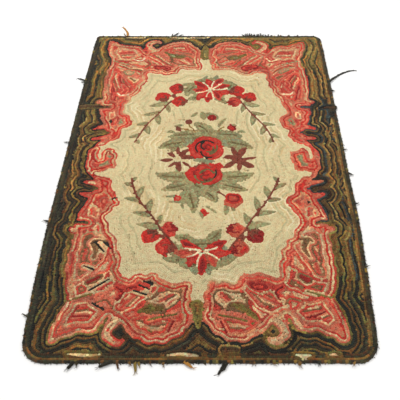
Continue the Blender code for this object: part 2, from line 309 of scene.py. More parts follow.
# Patches of the dark border that are hooked on their own, as limbs
BORDER_PATCHES = (
    ("nun", ((-462, 272, 13), (-385, 272, 12))),
    ("bunb", ((468, 272, 12), (440, 268, 11), (420, 262, 7))),
    ("bj", ((462, 244, 9), (458, 226, 7))),
    ("ootn", ((-14, 568, 14), (-14, 590, 17), (-12, 622, 15), (-12, 650, 6))),
    ("oonb", ((-9, -560, 18), (-8, -590, 14), (-6, -622, 7))),
    ("tun", ((60, -690, 14), (95, -690, 12))),
)

# Worn places where the loops are gone and the burlap shows, as limbs
WORN = (
    ((-346, 710, 4), (-305, 709, 7), (-262, 710, 4)),
    ((-160, 710, 4), (-80, 709, 7), (0, 710, 4)),
    ((-350, -701, 3), (-300, -703, 6), (-262, -700, 3)),
    ((-92, -704, 3), (-40, -702, 6), (12, -704, 3)),
    ((246, -702, 3), (270, -703, 6), (296, -702, 3)),
    ((336, -704, 3), (350, -702, 5), (366, -704, 3)),
)

# The rows of the dark border from the scrolls outwards, by stretch: x from, x to, y from, y to, yarns
BORDER_STRETCHES = (
    (-500, -392, 290, 680, "bazobjaojbj"),
    (-500, -330, 120, 290, "bbnotbnotbj"),
    (-500, -330, -100, 120, "bonbutntbuj"),
    (-500, -330, -270, -100, "bubobubnubj"),
    (-500, -372, -690, -270, "bonbjobnbjb"),
    (392, 500, 290, 680, "bbtbtzbntbn"),
    (330, 500, 120, 290, "zbtbnbtbbnz"),
    (330, 500, -100, 120, "bnbzntbntbn"),
    (330, 500, -270, -100, "zbunbtbnobn"),
    (372, 500, -690, -270, "obnobontnzb"),
    (-500, -200, 500, 740, "bjoatojn"),
    (-200, 0, 500, 740, "bjotaonj"),
    (0, 200, 500, 740, "bojtaonj"),
    (200, 500, 500, 740, "ojaotjot"),
    (-500, -200, -740, -500, "obnbjnnb"),
    (-200, 0, -740, -500, "unubjubn"),
    (0, 200, -740, -500, "btubbunb"),
    (200, 500, -740, -500, "obbnbnbj"),
)
EDGE_ROWS = {"left": "jjb", "right": "jnt", "far": "jot", "near": "nju"}

# The loose ends of rag along each edge, as the solids have them, in millimetres
RAG_ENDS = {
    # place along the edge, reach out from it, shift of the tip along it, bow to the side, width, yarn
    "far": (
        (-350, 20, -9, 0, 5, "n"), (-342.5, 70, -26, 8, 10, "a"), (-155, 17, 1, 0, 5, "j"),
        (-148, 26, 18, 0, 7, "b"), (-123.5, 10, 10, 0, 6, "b"), (145, 8, -3, 0, 8, "b"),
        (153, 14, -2, 1, 7, "b"), (160.5, 20, 0, -1, 7, "j"), (167.5, 21, 2, 1, 7, "b"),
        (175, 15, 4, 0, 8, "b"), (184, 8, 4, 0, 8, "j"), (193, 12, -2, 0, 7, "b"), (201, 10, 1, 0, 8, "b"),
        (209.5, 12, -1, 0, 7, "j"), (217, 21, 0, 1, 6, "b"), (224, 9, 4, 0, 7, "b"), (239, 6, -3, 0, 8, "b"),
        (248, 10, 1, 0, 7, "b"), (260, 5, 4, 0, 7, "j"), (290, 9, 2, 0, 6, "b"), (299, 6, 3, 0, 7, "n"),
        (332, 6, 4, 0, 6, "j"), (372, 5, 0, 0, 7, "b"),
    ),
    "near": (
        (-326, 16, -11, 0, 11, "b"), (-316, 8, 1, 0, 7, "j"), (-232, 11, -26, 0, 10, "b"),
        (-212.5, 16, 5, 0, 6, "u"), (-180, 4, 1, 0, 8, "n"), (-165.5, 23, 3, 0, 9, "o"),
        (-156, 9, 2, 0, 7, "o"), (-127, 4, 0, 0, 7, "u"), (-93, 6, 1, 0, 8, "n"), (-34, 13, 15, 0, 10, "a"),
        (64, 30, -15, 2, 9, "b"), (73, 19, -9, 0, 7, "b"), (142, 4, 0, 0, 7, "n"), (193, 4, 1, 0, 9, "n"),
        (259, 8, 0, 0, 10, "n"), (308, 5, 1, 0, 7, "b"), (400, 4, -1, 0, 9, "t"),
    ),
    "left": (
        (-590, 12, 6, 0, 6, "j"), (-262, 11, 4, 0, 8, "b"), (88, 14, 1, 0, 6, "b"), (417, 9, 1, 0, 6, "b"),
        (425, 30, 20, 3, 7, "b"),
    ),
    "right": (
        (-428, 7, 2, 0, 6, "j"), (-190, 6, 1, 0, 7, "b"), (-60, 12, -6, 0, 7, "b"), (52, 6, 1, 0, 7, "b"),
        (370, 6, -3, 0, 10, "b"), (424, 106, 73, 16, 10, "b"),
    ),
}
ROOT_DEPTH = 0.0035
ROOT_HEIGHT = 0.0062
DROP_LENGTH = 0.0450
END_STEP = 0.005
END_TAPER = 0.30
CLOTH_THICKNESS = 0.30
FRAY_THREADS = 3
FRAY_WIDTH = 0.0011
FUZZ_STEP = 4
FUZZ_LENGTH = (0.003, 0.007)
FUZZ_YARNS = "bjbjuj"

# The stitches that whip the edge over, in metres
STITCH_PITCH = 0.0078
STITCH_REACH = 0.0096
STITCH_HEIGHT = 0.0078
STITCH_YARNS = "bjjbujbnjjoj"
STITCH_STRETCH = 3

# The grid on which the chart is worked out, in metres
CELL = 0.002
GRID_X = 0.492
GRID_Y = 0.738
REACH = 0.110
LIMB_REACH = 0.060
WOBBLE = 0.0018
SWAY = 0.0042
COARSE = 0.010
SAMPLE = 0.0025
SHORTEST_ROW = 0.004
ACROSS = np.arange(-GRID_X, GRID_X + CELL / 2, CELL)
ALONG = np.arange(-GRID_Y, GRID_Y + CELL / 2, CELL)

# How a row's yarn varies along it
STRIP_LENGTH = 0.06
# Painted shade: the rows are darkened towards the near end of the rug, by up to this share
NEAR_PAINTED_SHADE = 0.14
STRIP_TONE = {"border": 0.30, "scrolls": 0.14, "ground": 0.03, "flowers": 0.10}

# How much one loop differs from the next, which makes rows of mixed rags look tweedy
TWEED = {"border": 0.55, "scrolls": 0.55, "ground": 0.14, "flowers": 0.45}
LOOP_STEP = 0.002
MAP_SKEW = (0.31, 0.23)
EDGE_ROW_COUNT = 3

# The thorns of the near stems, in millimetres
THORN_PITCH = 24.0
THORN_LENGTH = 4.0

# Rows that echo the edges of the scrolls: the usual yarn of each, and two others
SCROLL_EDGE_YARNS = ("sip", "qsp", "irp", "psq")
SCROLL_WAVER = 1.5
REDDER_SIDES = 0.55

# Rings of the cream ground, counted from the scrolls inwards, that are mostly hooked in grey-sage
SAGE_RINGS = (2, 6, 10, 15, 20, 26, 31)

rng = np.random.default_rng(1931)


def eased(share):
    """A smooth step from 0 to 1."""
    share = np.clip(share, 0.0, 1.0)
    return share * share * (3.0 - 2.0 * share)


def swell(y, column):
    """How far a long side stands out past the plain rectangle, at y."""
    for low, high in zip(SIDE_SWELL, SIDE_SWELL[1:]):
        if y <= high[0]:
            share = eased((y - low[0]) / (high[0] - low[0]))
            return low[column] + share * (high[column] - low[column])
    return SIDE_SWELL[-1][column]


def outline(inset, arc_steps=8, side_steps=40):
    """The rug's edge, counter-clockwise, drawn in by inset all round."""
    corners = []
    for across, along, radius, start in sorted(CORNERS, key=lambda row: row[3]):
        middle_x = across * (HALF_WIDTH - radius)
        middle_y = along * (HALF_LENGTH - radius)
        angles = [math.radians(start + 90.0 * step / (arc_steps - 1)) for step in range(arc_steps)]
        reach = radius - inset
        corners.append([(middle_x + reach * math.cos(a), middle_y + reach * math.sin(a)) for a in angles])
    points = []
    for arc, following in zip(corners, corners[1:] + corners[:1]):
        (x0, y0), (x1, y1) = arc[-1], following[0]
        shares = [step / side_steps for step in range(1, side_steps)]
        points += arc + [(x0 + share * (x1 - x0), y0 + share * (y1 - y0)) for share in shares]
    return [(x * (1.0 + swell(y, 1 if x < 0 else 2) / HALF_WIDTH), y) for x, y in points]


def pile_height(x, y, inside):
    """The height of the loops: level, a little uneven, and rolled down towards the edge."""
    uneven = np.sin(9.0 * x + 1.3) * np.sin(6.5 * y) + 0.6 * np.sin(17.0 * y + 11.0 * x)
    roll = eased(1.0 - inside / RIM_ROLL)
    level = PILE_HEIGHT + RIPPLE * uneven * (1.0 - roll)
    return level + roll * (RIM_HEIGHT - level)


def smooth_line(points, step, closed=False):
    """Places a step apart on a smooth line through the points, with whatever else each point carries."""
    points = np.asarray(points, dtype=float)
    if len(points) == 1:
        return points
    if closed:
        spans = zip(np.roll(points, 1, 0), points, np.roll(points, -1, 0), np.roll(points, -2, 0))
    else:
        padded = np.vstack([2 * points[0] - points[1], points, 2 * points[-1] - points[-2]])
        spans = zip(padded[:-3], padded[1:-2], padded[2:-1], padded[3:])
    places = []
    for before, here, after, beyond in spans:
        count = max(1, math.ceil(math.dist(here[:2], after[:2]) / step))
        t = (np.arange(count) / count)[:, None]
        bend = 2 * before - 5 * here + 4 * after - beyond
        curl = 3 * here - before - 3 * after + beyond
        places.append(here + 0.5 * ((after - before) * t + bend * t**2 + curl * t**3))
    if not closed:
        places.append(points[-1:])
    return np.vstack(places)


def grid_window(places, margin):
    """The slices of the grid that cover the places and a margin round them."""
    low = places[:, :2].min(axis=0) - margin
    high = places[:, :2].max(axis=0) + margin
    left = max(0, int((low[0] + GRID_X) / CELL))
    right = min(len(ACROSS), int((high[0] + GRID_X) / CELL) + 2)
    near = max(0, int((low[1] + GRID_Y) / CELL))
    far = min(len(ALONG), int((high[1] + GRID_Y) / CELL) + 2)
    return slice(near, far), slice(left, right)


def wobble(x, y):
    """The small waves of rows that are hooked by eye, in metres."""
    waves = np.sin(118.0 * x + 47.0 * y) * np.sin(96.0 * y - 31.0 * x)
    return WOBBLE * (waves + 0.6 * np.sin(205.0 * y + 61.0 * x + 2.0) * np.sin(171.0 * x - 40.0 * y))


def swayed(x, y, waver):
    """Places shifted by long slow waves, so that what is drawn there comes out a little bent."""
    sway = SWAY * waver
    return x + sway * np.sin(41.0 * y + 12.0 * x), y + sway * np.sin(46.0 * x - 9.0 * y + 1.0)


def limb_field(circles, waver=0.0, teeth=0.0):
    """How far each place of the grid lies inside a limb, and the window of the grid where that counts."""
    line = smooth_line(np.asarray(circles, dtype=float) * MILLIMETRE, SAMPLE)
    window = grid_window(line, LIMB_REACH)
    x, y = swayed(ACROSS[window[1]][None, :], ALONG[window[0]][:, None], waver)
    field = np.full(x.shape, -LIMB_REACH)
    along = np.zeros(field.shape)
    for number, (place_x, place_y, radius) in enumerate(line):
        own = radius - np.hypot(x - place_x, y - place_y)
        closer = own > field
        field[closer] = own[closer]
        along[closer] = number * SAMPLE
    toothed = teeth * (np.abs(np.sin(math.pi * along / TOOTH_PITCH)) - 0.5)
    return field + toothed + waver * wobble(x, y), window


def limb_across(circles, window):
    """How far each place of a window lies to the left of the middle line of a limb."""
    line = smooth_line(np.asarray(circles, dtype=float) * MILLIMETRE, SAMPLE)[:, :2]
    ways = np.gradient(line, axis=0)
    ways /= np.hypot(ways[:, 0], ways[:, 1])[:, None]
    x, y = swayed(ACROSS[window[1]][None, :], ALONG[window[0]][:, None], SCROLL_WAVER)
    nearest = np.full(x.shape, 2.0 * GRID_Y)
    across = np.zeros(nearest.shape)
    for (place_x, place_y), (way_x, way_y) in zip(line, ways):
        away = np.hypot(x - place_x, y - place_y)
        closer = away < nearest
        nearest[closer] = away[closer]
        across[closer] = (way_x * (y - place_y) - way_y * (x - place_x))[closer]
    return across + wobble(x + 0.1, y)


def closed_field(line):
    """How far each place of the grid lies inside a closed line, up to REACH; outside it is negative."""
    field = np.full((len(ALONG), len(ACROSS)), REACH)
    turns = np.zeros(field.shape, dtype=int)
    for (x0, y0), (x1, y1) in zip(line, np.roll(line, -1, axis=0)):
        window = grid_window(np.array([(x0, y0), (x1, y1)]), REACH)
        x = ACROSS[window[1]][None, :] - x0
        y = ALONG[window[0]][:, None] - y0
        way_x, way_y = x1 - x0, y1 - y0
        share = np.clip((x * way_x + y * way_y) / max(way_x**2 + way_y**2, 1e-12), 0.0, 1.0)
        away = np.hypot(x - share * way_x, y - share * way_y)
        np.minimum(field[window], away, out=field[window])
        crossed = np.nonzero((ALONG >= min(y0, y1)) & (ALONG < max(y0, y1)))[0]
        if len(crossed):
            places = x0 + (ALONG[crossed] - y0) / way_y * way_x
            turns[crossed, np.searchsorted(ACROSS, places)] += 1
    inside = np.cumsum(turns, axis=1) % 2 == 1
    field = np.where(field < REACH, field, np.maximum(field, far_distance(line)))
    return np.where(inside, field, -field)


def far_distance(line):
    """How far each place of the grid lies from a closed line, worked out coarsely, for places far from it."""
    x = np.arange(-GRID_X, GRID_X + COARSE, COARSE)
    y = np.arange(-GRID_Y, GRID_Y + COARSE, COARSE)
    away = np.full((len(y), len(x)), 2.0 * GRID_Y)
    for place_x, place_y in line[::2]:
        np.minimum(away, np.hypot(x[None, :] - place_x, y[:, None] - place_y), out=away)
    wide = np.array([np.interp(ACROSS, x, row) for row in away])
    return np.array([np.interp(ALONG, y, column) for column in wide.T]).T


def crossings(field, level, window):
    """Where the grid's lines cross a level of the field: places by number, and the pairs of numbers joined."""
    gap = field - level
    gap[gap == 0.0] = 1e-9
    high = gap > 0.0
    rows, columns = gap.shape
    number = np.arange(rows * columns).reshape(rows, columns)
    upright = number + rows * columns
    flags = np.stack([
        high[:-1, :-1] != high[:-1, 1:],
        high[:-1, 1:] != high[1:, 1:],
        high[1:, :-1] != high[1:, 1:],
        high[:-1, :-1] != high[1:, :-1],
    ])
    names = np.stack([number[:-1, :-1], upright[:-1, 1:], number[1:, :-1], upright[:-1, :-1]])
    count = flags.sum(axis=0)
    plain = count == 2
    first = np.argmax(flags, axis=0)
    last = 3 - np.argmax(flags[::-1], axis=0)
    pick = np.nonzero(plain)
    pairs = [np.stack([names[first[pick], pick[0], pick[1]], names[last[pick], pick[0], pick[1]]], axis=1)]
    middle = (gap[:-1, :-1] + gap[:-1, 1:] + gap[1:, 1:] + gap[1:, :-1]) > 0.0
    round_near = (count == 4) & (middle != high[:-1, :-1])
    round_next = (count == 4) & (middle == high[:-1, :-1])
    for cells, joins in ((round_near, ((0, 3), (1, 2))), (round_next, ((0, 1), (2, 3)))):
        pick = np.nonzero(cells)
        for one, other in joins:
            pairs.append(np.stack([names[one][pick], names[other][pick]], axis=1))
    x, y = ACROSS[window[1]], ALONG[window[0]]
    with np.errstate(divide="ignore", invalid="ignore"):
        share_x = gap[:, :-1] / (gap[:, :-1] - gap[:, 1:])
        share_y = gap[:-1, :] / (gap[:-1, :] - gap[1:, :])
    place_x = np.zeros(2 * rows * columns)
    place_y = np.zeros(2 * rows * columns)
    place_x[number[:, :-1]] = x[:-1][None, :] + share_x * CELL
    place_y[number[:, :-1]] = np.broadcast_to(y[:, None], share_x.shape)
    place_x[upright[:-1, :]] = np.broadcast_to(x[None, :], share_y.shape)
    place_y[upright[:-1, :]] = y[:-1][:, None] + share_y * CELL
    return place_x, place_y, np.vstack(pairs)


def walked(links, start):
    """The chain of numbers that starts at one of them, its links used up on the way."""
    chain = [start]
    while links[chain[-1]]:
        following = links[chain[-1]].pop()
        links[following].remove(chain[-1])
        chain.append(following)
    return chain


def contours(field, level, window):
    """The lines along which the field has this level. A closed one ends on the place that it starts from."""
    if field.max() <= level:
        return []
    place_x, place_y, pairs = crossings(field, level, window)
    links = {}
    for one, other in pairs.tolist():
        links.setdefault(one, []).append(other)
        links.setdefault(other, []).append(one)
    ends = [number for number, joined in links.items() if len(joined) == 1]
    lines = []
    for start in ends + list(links):
        if links[start]:
            chain = walked(links, start)
            lines.append(np.stack([place_x[chain], place_y[chain]], axis=1))
    return lines


def on_grid(places):
    """The grid cells nearest to the places."""
    column = np.clip(np.rint((places[:, 0] + GRID_X) / CELL).astype(int), 0, len(ACROSS) - 1)
    row = np.clip(np.rint((places[:, 1] + GRID_Y) / CELL).astype(int), 0, len(ALONG) - 1)
    return row, column


def runs(keep):
    """The first and last-but-one index of each unbroken stretch of true values."""
    edges = np.diff(np.concatenate([[0], keep.astype(int), [0]]))
    return list(zip(np.nonzero(edges == 1)[0], np.nonzero(edges == -1)[0]))


class Chart:
    """The rug's ground while it is being covered: what is still free, whose each place is, and the rows."""

    def __init__(self):
        edge = np.array(outline(BINDING_WIDTH))
        self.edge = closed_field(edge)
        self.free = np.full(self.edge.shape, REACH)
        self.yarn = np.full(self.free.shape, "n")
        self.section = np.full(self.free.shape, "border", dtype=object)
        self.rows = []

    def add_row(self, line, yarns, section, rise=1.0):
        """Keeps a row, with a yarn's letter for each of its places."""
        length = np.hypot(*np.diff(line, axis=0).T).sum() if len(line) > 1 else 0.0
        if length >= SHORTEST_ROW:
            self.rows.append((line, yarns, section, rise))

    def claim(self, window, field, letters, section):
        """Notes whose the places of a region are."""
        inside = field > 0.0
        ring = (field / ROW).astype(int) % len(letters)
        self.yarn[window][inside] = np.array(list(letters))[ring[inside]]
        self.section[window][inside] = section

    def limb(self, letters, circles, section, within=None, rise=1.0, teeth=0.0):
        """Fills a limb with rings that run parallel to its outline."""
        letters, _, along = letters.partition("|")
        own, window = limb_field(circles, SCROLL_WAVER if section == "scrolls" else 0.35, teeth)
        field = np.minimum(own, self.free[window])
        if within is not None:
            field = np.minimum(field, within[window])
        self.claim(window, field, letters, section)
        widest = max(circle[2] for circle in circles) * MILLIMETRE
        if widest < 0.75 * ROW:
            self.line(letters[0], [circle[:2] for circle in circles], section, own, rise, within)
            return
        rings = int(field.max() / ROW + 0.5)
        for ring in range(min(rings, len(letters)) if along else rings):
            letter = letters[ring % len(letters)]
            for line in contours(field, (ring + 0.5) * ROW, window):
                self.add_row(line, np.full(len(line), letter), section, rise)
        if along:
            self.stripes(along, circles, window, field - len(letters) * ROW, section, rise)
        self.take(window, own if within is None else np.minimum(own, within[window]))

    def stripes(self, letters, circles, window, field, section, rise):
        """Fills the inside of a limb with rows that run along it."""
        across = limb_across(circles, window)
        reach = np.abs(across[field > 0.0]).max(initial=0.0)
        corner = (window[0].start, window[1].start)
        for step in range(-int(reach / ROW + 1.0), int(reach / ROW + 1.0)):
            letter = letters[step % len(letters)]
            for line in contours(across, (step + 0.5) * ROW, window):
                row, column = on_grid(line)
                for first, end in runs(field[row - corner[0], column - corner[1]] > 0.05 * ROW):
                    self.add_row(line[first:end], np.full(end - first, letter), section, rise)

    def take(self, window, field):
        """Takes the places of a field from what is free, and notes how far the others lie from them."""
        near = field > -0.9 * LIMB_REACH
        taken = np.where(near, -field, REACH)
        np.minimum(self.free[window], taken, out=self.free[window])

    def line(self, letter, points, section, own=None, rise=1.0, within=None):
        """Hooks one single row along a smooth line, where nothing else is."""
        line = smooth_line(np.asarray(points, dtype=float) * MILLIMETRE, LOOP_STEP)
        cells = on_grid(line)
        keep = self.free[cells] > 0.2 * ROW
        if within is not None:
            keep &= within[cells] > 0.2 * ROW
        for first, end in runs(keep):
            self.add_row(line[first:end], np.full(end - first, letter), section, rise)
        circles = [(x, y, 0.5 * ROW / MILLIMETRE) for x, y in points]
        field, window = limb_field(circles)
        inside = (field > 0.0) & (self.free[window] > 0.0)
        self.yarn[window][inside] = letter
        self.section[window][inside] = section
        if own is not None:
            field = np.maximum(field, own)
        self.take(window, field if within is None else np.minimum(field, within[window]))

    def ground(self, field, yarn_at, section, keep):
        """Fills a region with rows that echo its own edge alone, past one row round each motif in it."""
        whole = (slice(0, len(ALONG)), slice(0, len(ACROSS)))
        for line in contours(np.minimum(self.free, field), 0.5 * ROW, whole):
            kept = keep[on_grid(line)] & (field[on_grid(line)] > 0.9 * ROW)
            letters = yarn_at(line, 0)
            for first, end in runs(kept):
                self.add_row(line[first:end], letters[first:end], section)
        self.rest(field, yarn_at, section, keep & (self.free > 0.95 * ROW), echo=False)
        inside = (field > 0.0) & (self.free > 0.0) & keep
        bare = inside & (self.free <= 0.95 * ROW)
        row, column = np.nonzero(bare)
        self.yarn[bare] = yarn_at(np.stack([ACROSS[column], ALONG[row]], axis=1), 0)
        self.section[inside] = section

    def rest(self, field, yarn_at, section, keep=None, echo=True):
        """Fills what is left of a region with rows that echo its limits; yarn_at gives letters by ring."""
        whole = (slice(0, len(ALONG)), slice(0, len(ACROSS)))
        if echo:
            field = np.minimum(field, self.free)
        top = int(field.max() / ROW + 0.5)
        for ring in range(top):
            for line in contours(field, (ring + 0.5) * ROW, whole):
                kept = np.ones(len(line), dtype=bool) if keep is None else keep[on_grid(line)]
                letters = yarn_at(line, ring)
                for first, end in runs(kept):
                    self.add_row(line[first:end], letters[first:end], section)
        inside = field > 0.0
        if keep is not None:
            inside &= keep
        row, column = np.nonzero(inside)
        places = np.stack([ACROSS[column], ALONG[row]], axis=1)
        ring_at = (field[row, column] / ROW).astype(int)
        for ring in range(top + 1):
            chosen = ring_at == ring
            if chosen.any():
                self.yarn[row[chosen], column[chosen]] = yarn_at(places[chosen], ring)
        self.section[inside] = section


def slow_noise(x, y, seed):
    """A soft value between -1 and 1 that drifts across the rug."""
    turn = 2.4 * seed
    waves = np.sin(7.1 * x + 3.7 * y + turn) + np.sin(13.3 * y - 5.9 * x + 2.1 * turn)
    return (waves + 0.7 * np.sin(23.0 * x + 19.0 * y - turn)) / 2.7


def band_yarn(places, ring):
    """The yarn between the leaves of the scrolls."""
    drift = slow_noise(places[:, 0], places[:, 1], ring)
    letters = np.array(list("isqdpisqsd"))
    return letters[(ring + (drift > 0.35)) % len(letters)]


def scroll_edge_yarn(places, ring):
    """The rows that echo the edges of the scrolls."""
    drift = slow_noise(1.6 * places[:, 0], 1.6 * places[:, 1], 3.0 + ring)
    drift += REDDER_SIDES * (np.abs(places[:, 1]) < 0.30)
    usual, now_and_then, seldom = SCROLL_EDGE_YARNS[ring % len(SCROLL_EDGE_YARNS)]
    letters = np.full(len(places), usual)
    letters[drift > 0.25] = now_and_then
    letters[drift < -0.55] = seldom
    return letters


def ground_yarn(places, ring):
    """The cream ground: stretches of some rows are grey-sage, straw or pale."""
    drift = slow_noise(places[:, 0], places[:, 1], ring * 1.7)
    letters = np.full(len(places), "c")
    letters[drift > 0.60] = "w"
    letters[drift < -0.62] = "y"
    if ring in SAGE_RINGS:
        letters[drift > -0.05] = "l"
    return letters


def border_yarn(places, ring):
    """The dark border, which changes its yarns from stretch to stretch."""
    shift_y = 0.04 * math.sin(5.3 * ring)
    shift_x = 0.04 * math.sin(3.1 * ring + 1.0)
    letters = np.full(len(places), "n")
    x = places[:, 0] + shift_x
    y = places[:, 1] + shift_y
    for low_x, high_x, low_y, high_y, yarns in BORDER_STRETCHES:
        inside = (x >= low_x * MILLIMETRE) & (x < high_x * MILLIMETRE)
        inside &= (y >= low_y * MILLIMETRE) & (y < high_y * MILLIMETRE)
        letters[inside] = yarns[ring % len(yarns)]
    return letters


def edge_yarn(places, ring):
    """The last rows, which run round the whole rug."""
    x, y = places[:, 0], places[:, 1]
    letters = np.where(x < 0.0, EDGE_ROWS["left"][ring % 3], EDGE_ROWS["right"][ring % 3])
    letters = np.where(y > HALF_LENGTH - 0.045, EDGE_ROWS["far"][ring % 3], letters)
    return np.where(y < -HALF_LENGTH + 0.045, EDGE_ROWS["near"][ring % 3], letters)


def drawn(points, quarter):
    """Points or circles of the quarter's drawing as they come out in one corner, in millimetres."""
    across, along, wide, long, middle = quarter
    made = []
    for x, y, *radius in points:
        place_x = across * wide * x + middle * float(eased((y - 440.0) / 120.0)) * (1.0 - x / 400.0)
        place_y = along * long * y
        near = (2.0 * MILLIMETRE * place_x, 2.0 * MILLIMETRE * place_y)
        made.append((place_x + DRIFT * slow_noise(*near, 5.0), place_y + DRIFT * slow_noise(*near, 8.0), *radius))
    return made


def folded(points):
    """A line of the quarter laid over into all four of them, as one closed line in metres."""
    whole = []
    for number, quarter in enumerate(QUARTERS):
        copy = drawn(points, quarter)
        whole += copy if number % 2 == 0 else copy[::-1]
    return smooth_line(np.array(whole) * MILLIMETRE, 0.004, closed=True)


def scalloped(line, depth):
    """A closed line, clockwise, pushed out into scallops; a negative depth pushes them inwards."""
    ways = np.gradient(line, axis=0)
    ways /= np.hypot(ways[:, 0], ways[:, 1])[:, None]
    along = np.cumsum(np.hypot(*(line - np.roll(line, 1, axis=0)).T))
    phase = (along + 0.016 * np.sin(19.0 * along)) / SCALLOP_PITCH
    push = depth * (np.abs(np.sin(math.pi * phase)) - 0.6)
    return line + np.stack([-ways[:, 1], ways[:, 0]], axis=1) * push[:, None]


def with_curls(field):
    """How far each place lies inside the band's outer edge, once its curls are added and its slots cut."""
    for limbs, side, blend in ((CURLS, 1.0, np.maximum), (SLOTS, -1.0, np.minimum)):
        for circles in limbs:
            for quarter in QUARTERS:
                own, window = limb_field(drawn(circles, quarter))
                own = side * np.where(own > -0.9 * LIMB_REACH, own, -REACH)
                blend(field[window], own, out=field[window])
    return field


def laid_over(circles, side):
    """Circles drawn on one side of the rug, as they lie on the other."""
    return [(side * x, y, radius) for x, y, radius in circles]


def turned(way, degrees):
    """A direction turned by an angle."""
    angle = math.atan2(way[1], way[0]) + math.radians(degrees)
    return np.array([math.cos(angle), math.sin(angle)])


def thorns(points):
    """Short rows that stand out from a stem, on one side and then the other, in millimetres."""
    line = smooth_line(points, THORN_PITCH)
    side = 1.0
    made = []
    for place, way in zip(line[1:-1], np.gradient(line, axis=0)[1:-1]):
        out = turned(way, side * 60.0) * THORN_LENGTH
        made.append((place + 0.5 * out, place + 1.8 * out))
        side = -side
    return made


def spray_leaves():
    """The leaves that stand out from both sides of the quarter's stem, as circles."""
    line = smooth_line(STEM, 2.0)
    ways = np.gradient(line, axis=0)
    made = []
    for share, side, length, width in SPRAY_LEAVES:
        number = round(share * (len(line) - 1))
        out = turned(ways[number], side * LEAF_ANGLE)
        bend = turned(out, -90.0 * side) * 0.06 * length
        foot, belly, tip = (line[number] + out * part * length for part in (0.10, 0.50, 1.0))
        made.append([(*foot, 3.0), (*(belly + bend), width), (*tip, 2.0)])
    return made


def lily_petals(middle, first, step, count, reach, width, start, blunt, schemes):
    """The petals of a lily, as limbs that stand out round its middle."""
    made = []
    for number in range(count):
        out = turned((1.0, 0.0), first + step * number + 6.0 * math.sin(4.1 * number))
        length = reach * (1.0 + 0.14 * math.sin(2.6 * number))
        bend = turned(out, 90.0) * 0.09 * length * math.sin(1.9 * number + 1.0)
        foot, belly, tip = (middle + out * part * length for part in (start, 0.58, 0.94))
        own = width * (1.0 + 0.4 * math.sin(2.9 * number + 0.6) * (blunt < 0.3))
        made.append((schemes[number % len(schemes)],
                     [(*foot, 0.3 * own), (*(belly + bend), own), (*tip, blunt * own)]))
    return made


def petal_gaps(middle, first, step, count, reach):
    """The pale rows between the petals of a lily."""
    whole_round = step * count >= 360
    made = []
    for number in range(count if whole_round else count - 1):
        if number % 4 == 3:
            continue
        out = turned((1.0, 0.0), first + step * (number + 0.5) + 5.0 * math.sin(4.1 * number))
        length = reach * (0.68 + 0.14 * math.sin(3.3 * number))
        bend = turned(out, 90.0) * 0.07 * length * math.sin(2.2 * number)
        made.append([middle + out * 0.20 * length, middle + out * 0.60 * length + bend, middle + out * length])
    return made


def blossom(x, y, radius):
    """The body of a small blossom, as circles that go round its middle."""
    lobes = [turned((1.0, 0.0), degrees + x) * 0.40 * radius for degrees in (80.0, 170.0, 260.0, 350.0)]
    return [(x + lobe[0], y + lobe[1], 0.66 * radius) for lobe in lobes]


def blossom_folds(x, y, radius):
    """Arcs that curl round the middle of a small blossom, as places along rows."""
    return [arc(x, y, 0.36 * radius, x + y, x + y + 200.0), arc(x, y, 0.76 * radius, x - y, x - y + 110.0)]


def arc(x, y, radius, first, last):
    """Places along an arc."""
    turns = np.linspace(first, last, 2 + int(abs(last - first) / 20.0))
    return [(x + radius * math.cos(math.radians(turn)), y + radius * math.sin(math.radians(turn)))
            for turn in turns]


def hook_leaf(chart, letters, circles):
    """A leaf with its vein, which stops short of its base and its tip."""
    wide = max(circle[2] for circle in circles) > WIDE_LEAF
    if wide and len(circles) > 1:
        line = smooth_line(circles, 4.0)[:, :2]
        chart.line("e", line[len(line) // 5:-len(line) // 5], "flowers")
    chart.limb(letters, circles, "flowers", teeth=LEAF_TEETH if wide else 0.0)


def hook_flowers(chart):
    """The sprays, the lilies and the bouquet, from the top layer down."""
    for middle, first, step, count, reach, *_ in LILIES[:2]:
        for points in petal_gaps(np.array(middle), first, step, count, reach):
            chart.line("w", points, "flowers")
    for letter, points in TWIGS:
        chart.line(letter, points, "flowers")
    for letter, *bend in ROSE_FOLDS:
        chart.line(letter, arc(*bend), "flowers")
    for quarter in QUARTERS:
        near = quarter[1] < 0
        stem = drawn(STEM_ROOT + STEM if near else STEM, quarter)
        chart.line("h", stem, "flowers")
        for thorn in thorns(stem) if near else ():
            chart.line("h", thorn, "flowers")
    for letters, circles in reversed(FLOWERS):
        chart.limb(letters, circles, "flowers", teeth=LOBES if len(letters) > 4 else 0.0)
    for x, y, radius, schemes in BLOSSOMS:
        for quarter, letters in zip(QUARTERS, schemes):
            for points in blossom_folds(x, y, radius) if len(letters) > 2 else ():
                chart.line(FOLD_YARN[letters[0]], drawn(points, quarter), "flowers")
            chart.limb(letters, drawn(blossom(x, y, radius), quarter), "flowers", teeth=LOBES)
    for middle, *petals in LILIES:
        for letters, circles in lily_petals(np.array(middle), *petals):
            chart.limb(letters, circles, "flowers")
    for quarter in QUARTERS:
        for circles in spray_leaves():
            hook_leaf(chart, "gf", drawn(circles, quarter))
    for (middle_x, middle_y), *_ in LILIES[:2]:
        side = math.copysign(1.0, middle_y)
        for letters, circles in reversed(COLLAR):
            hook_leaf(chart, letters, [(middle_x + x, middle_y + side * y, r) for x, y, r in circles])
    for letters, circles in reversed(LEAF_PAIRS):
        for side in (1, -1):
            hook_leaf(chart, letters, laid_over(circles, side))
    for letters, circles in reversed(LEAVES):
        hook_leaf(chart, letters, circles)


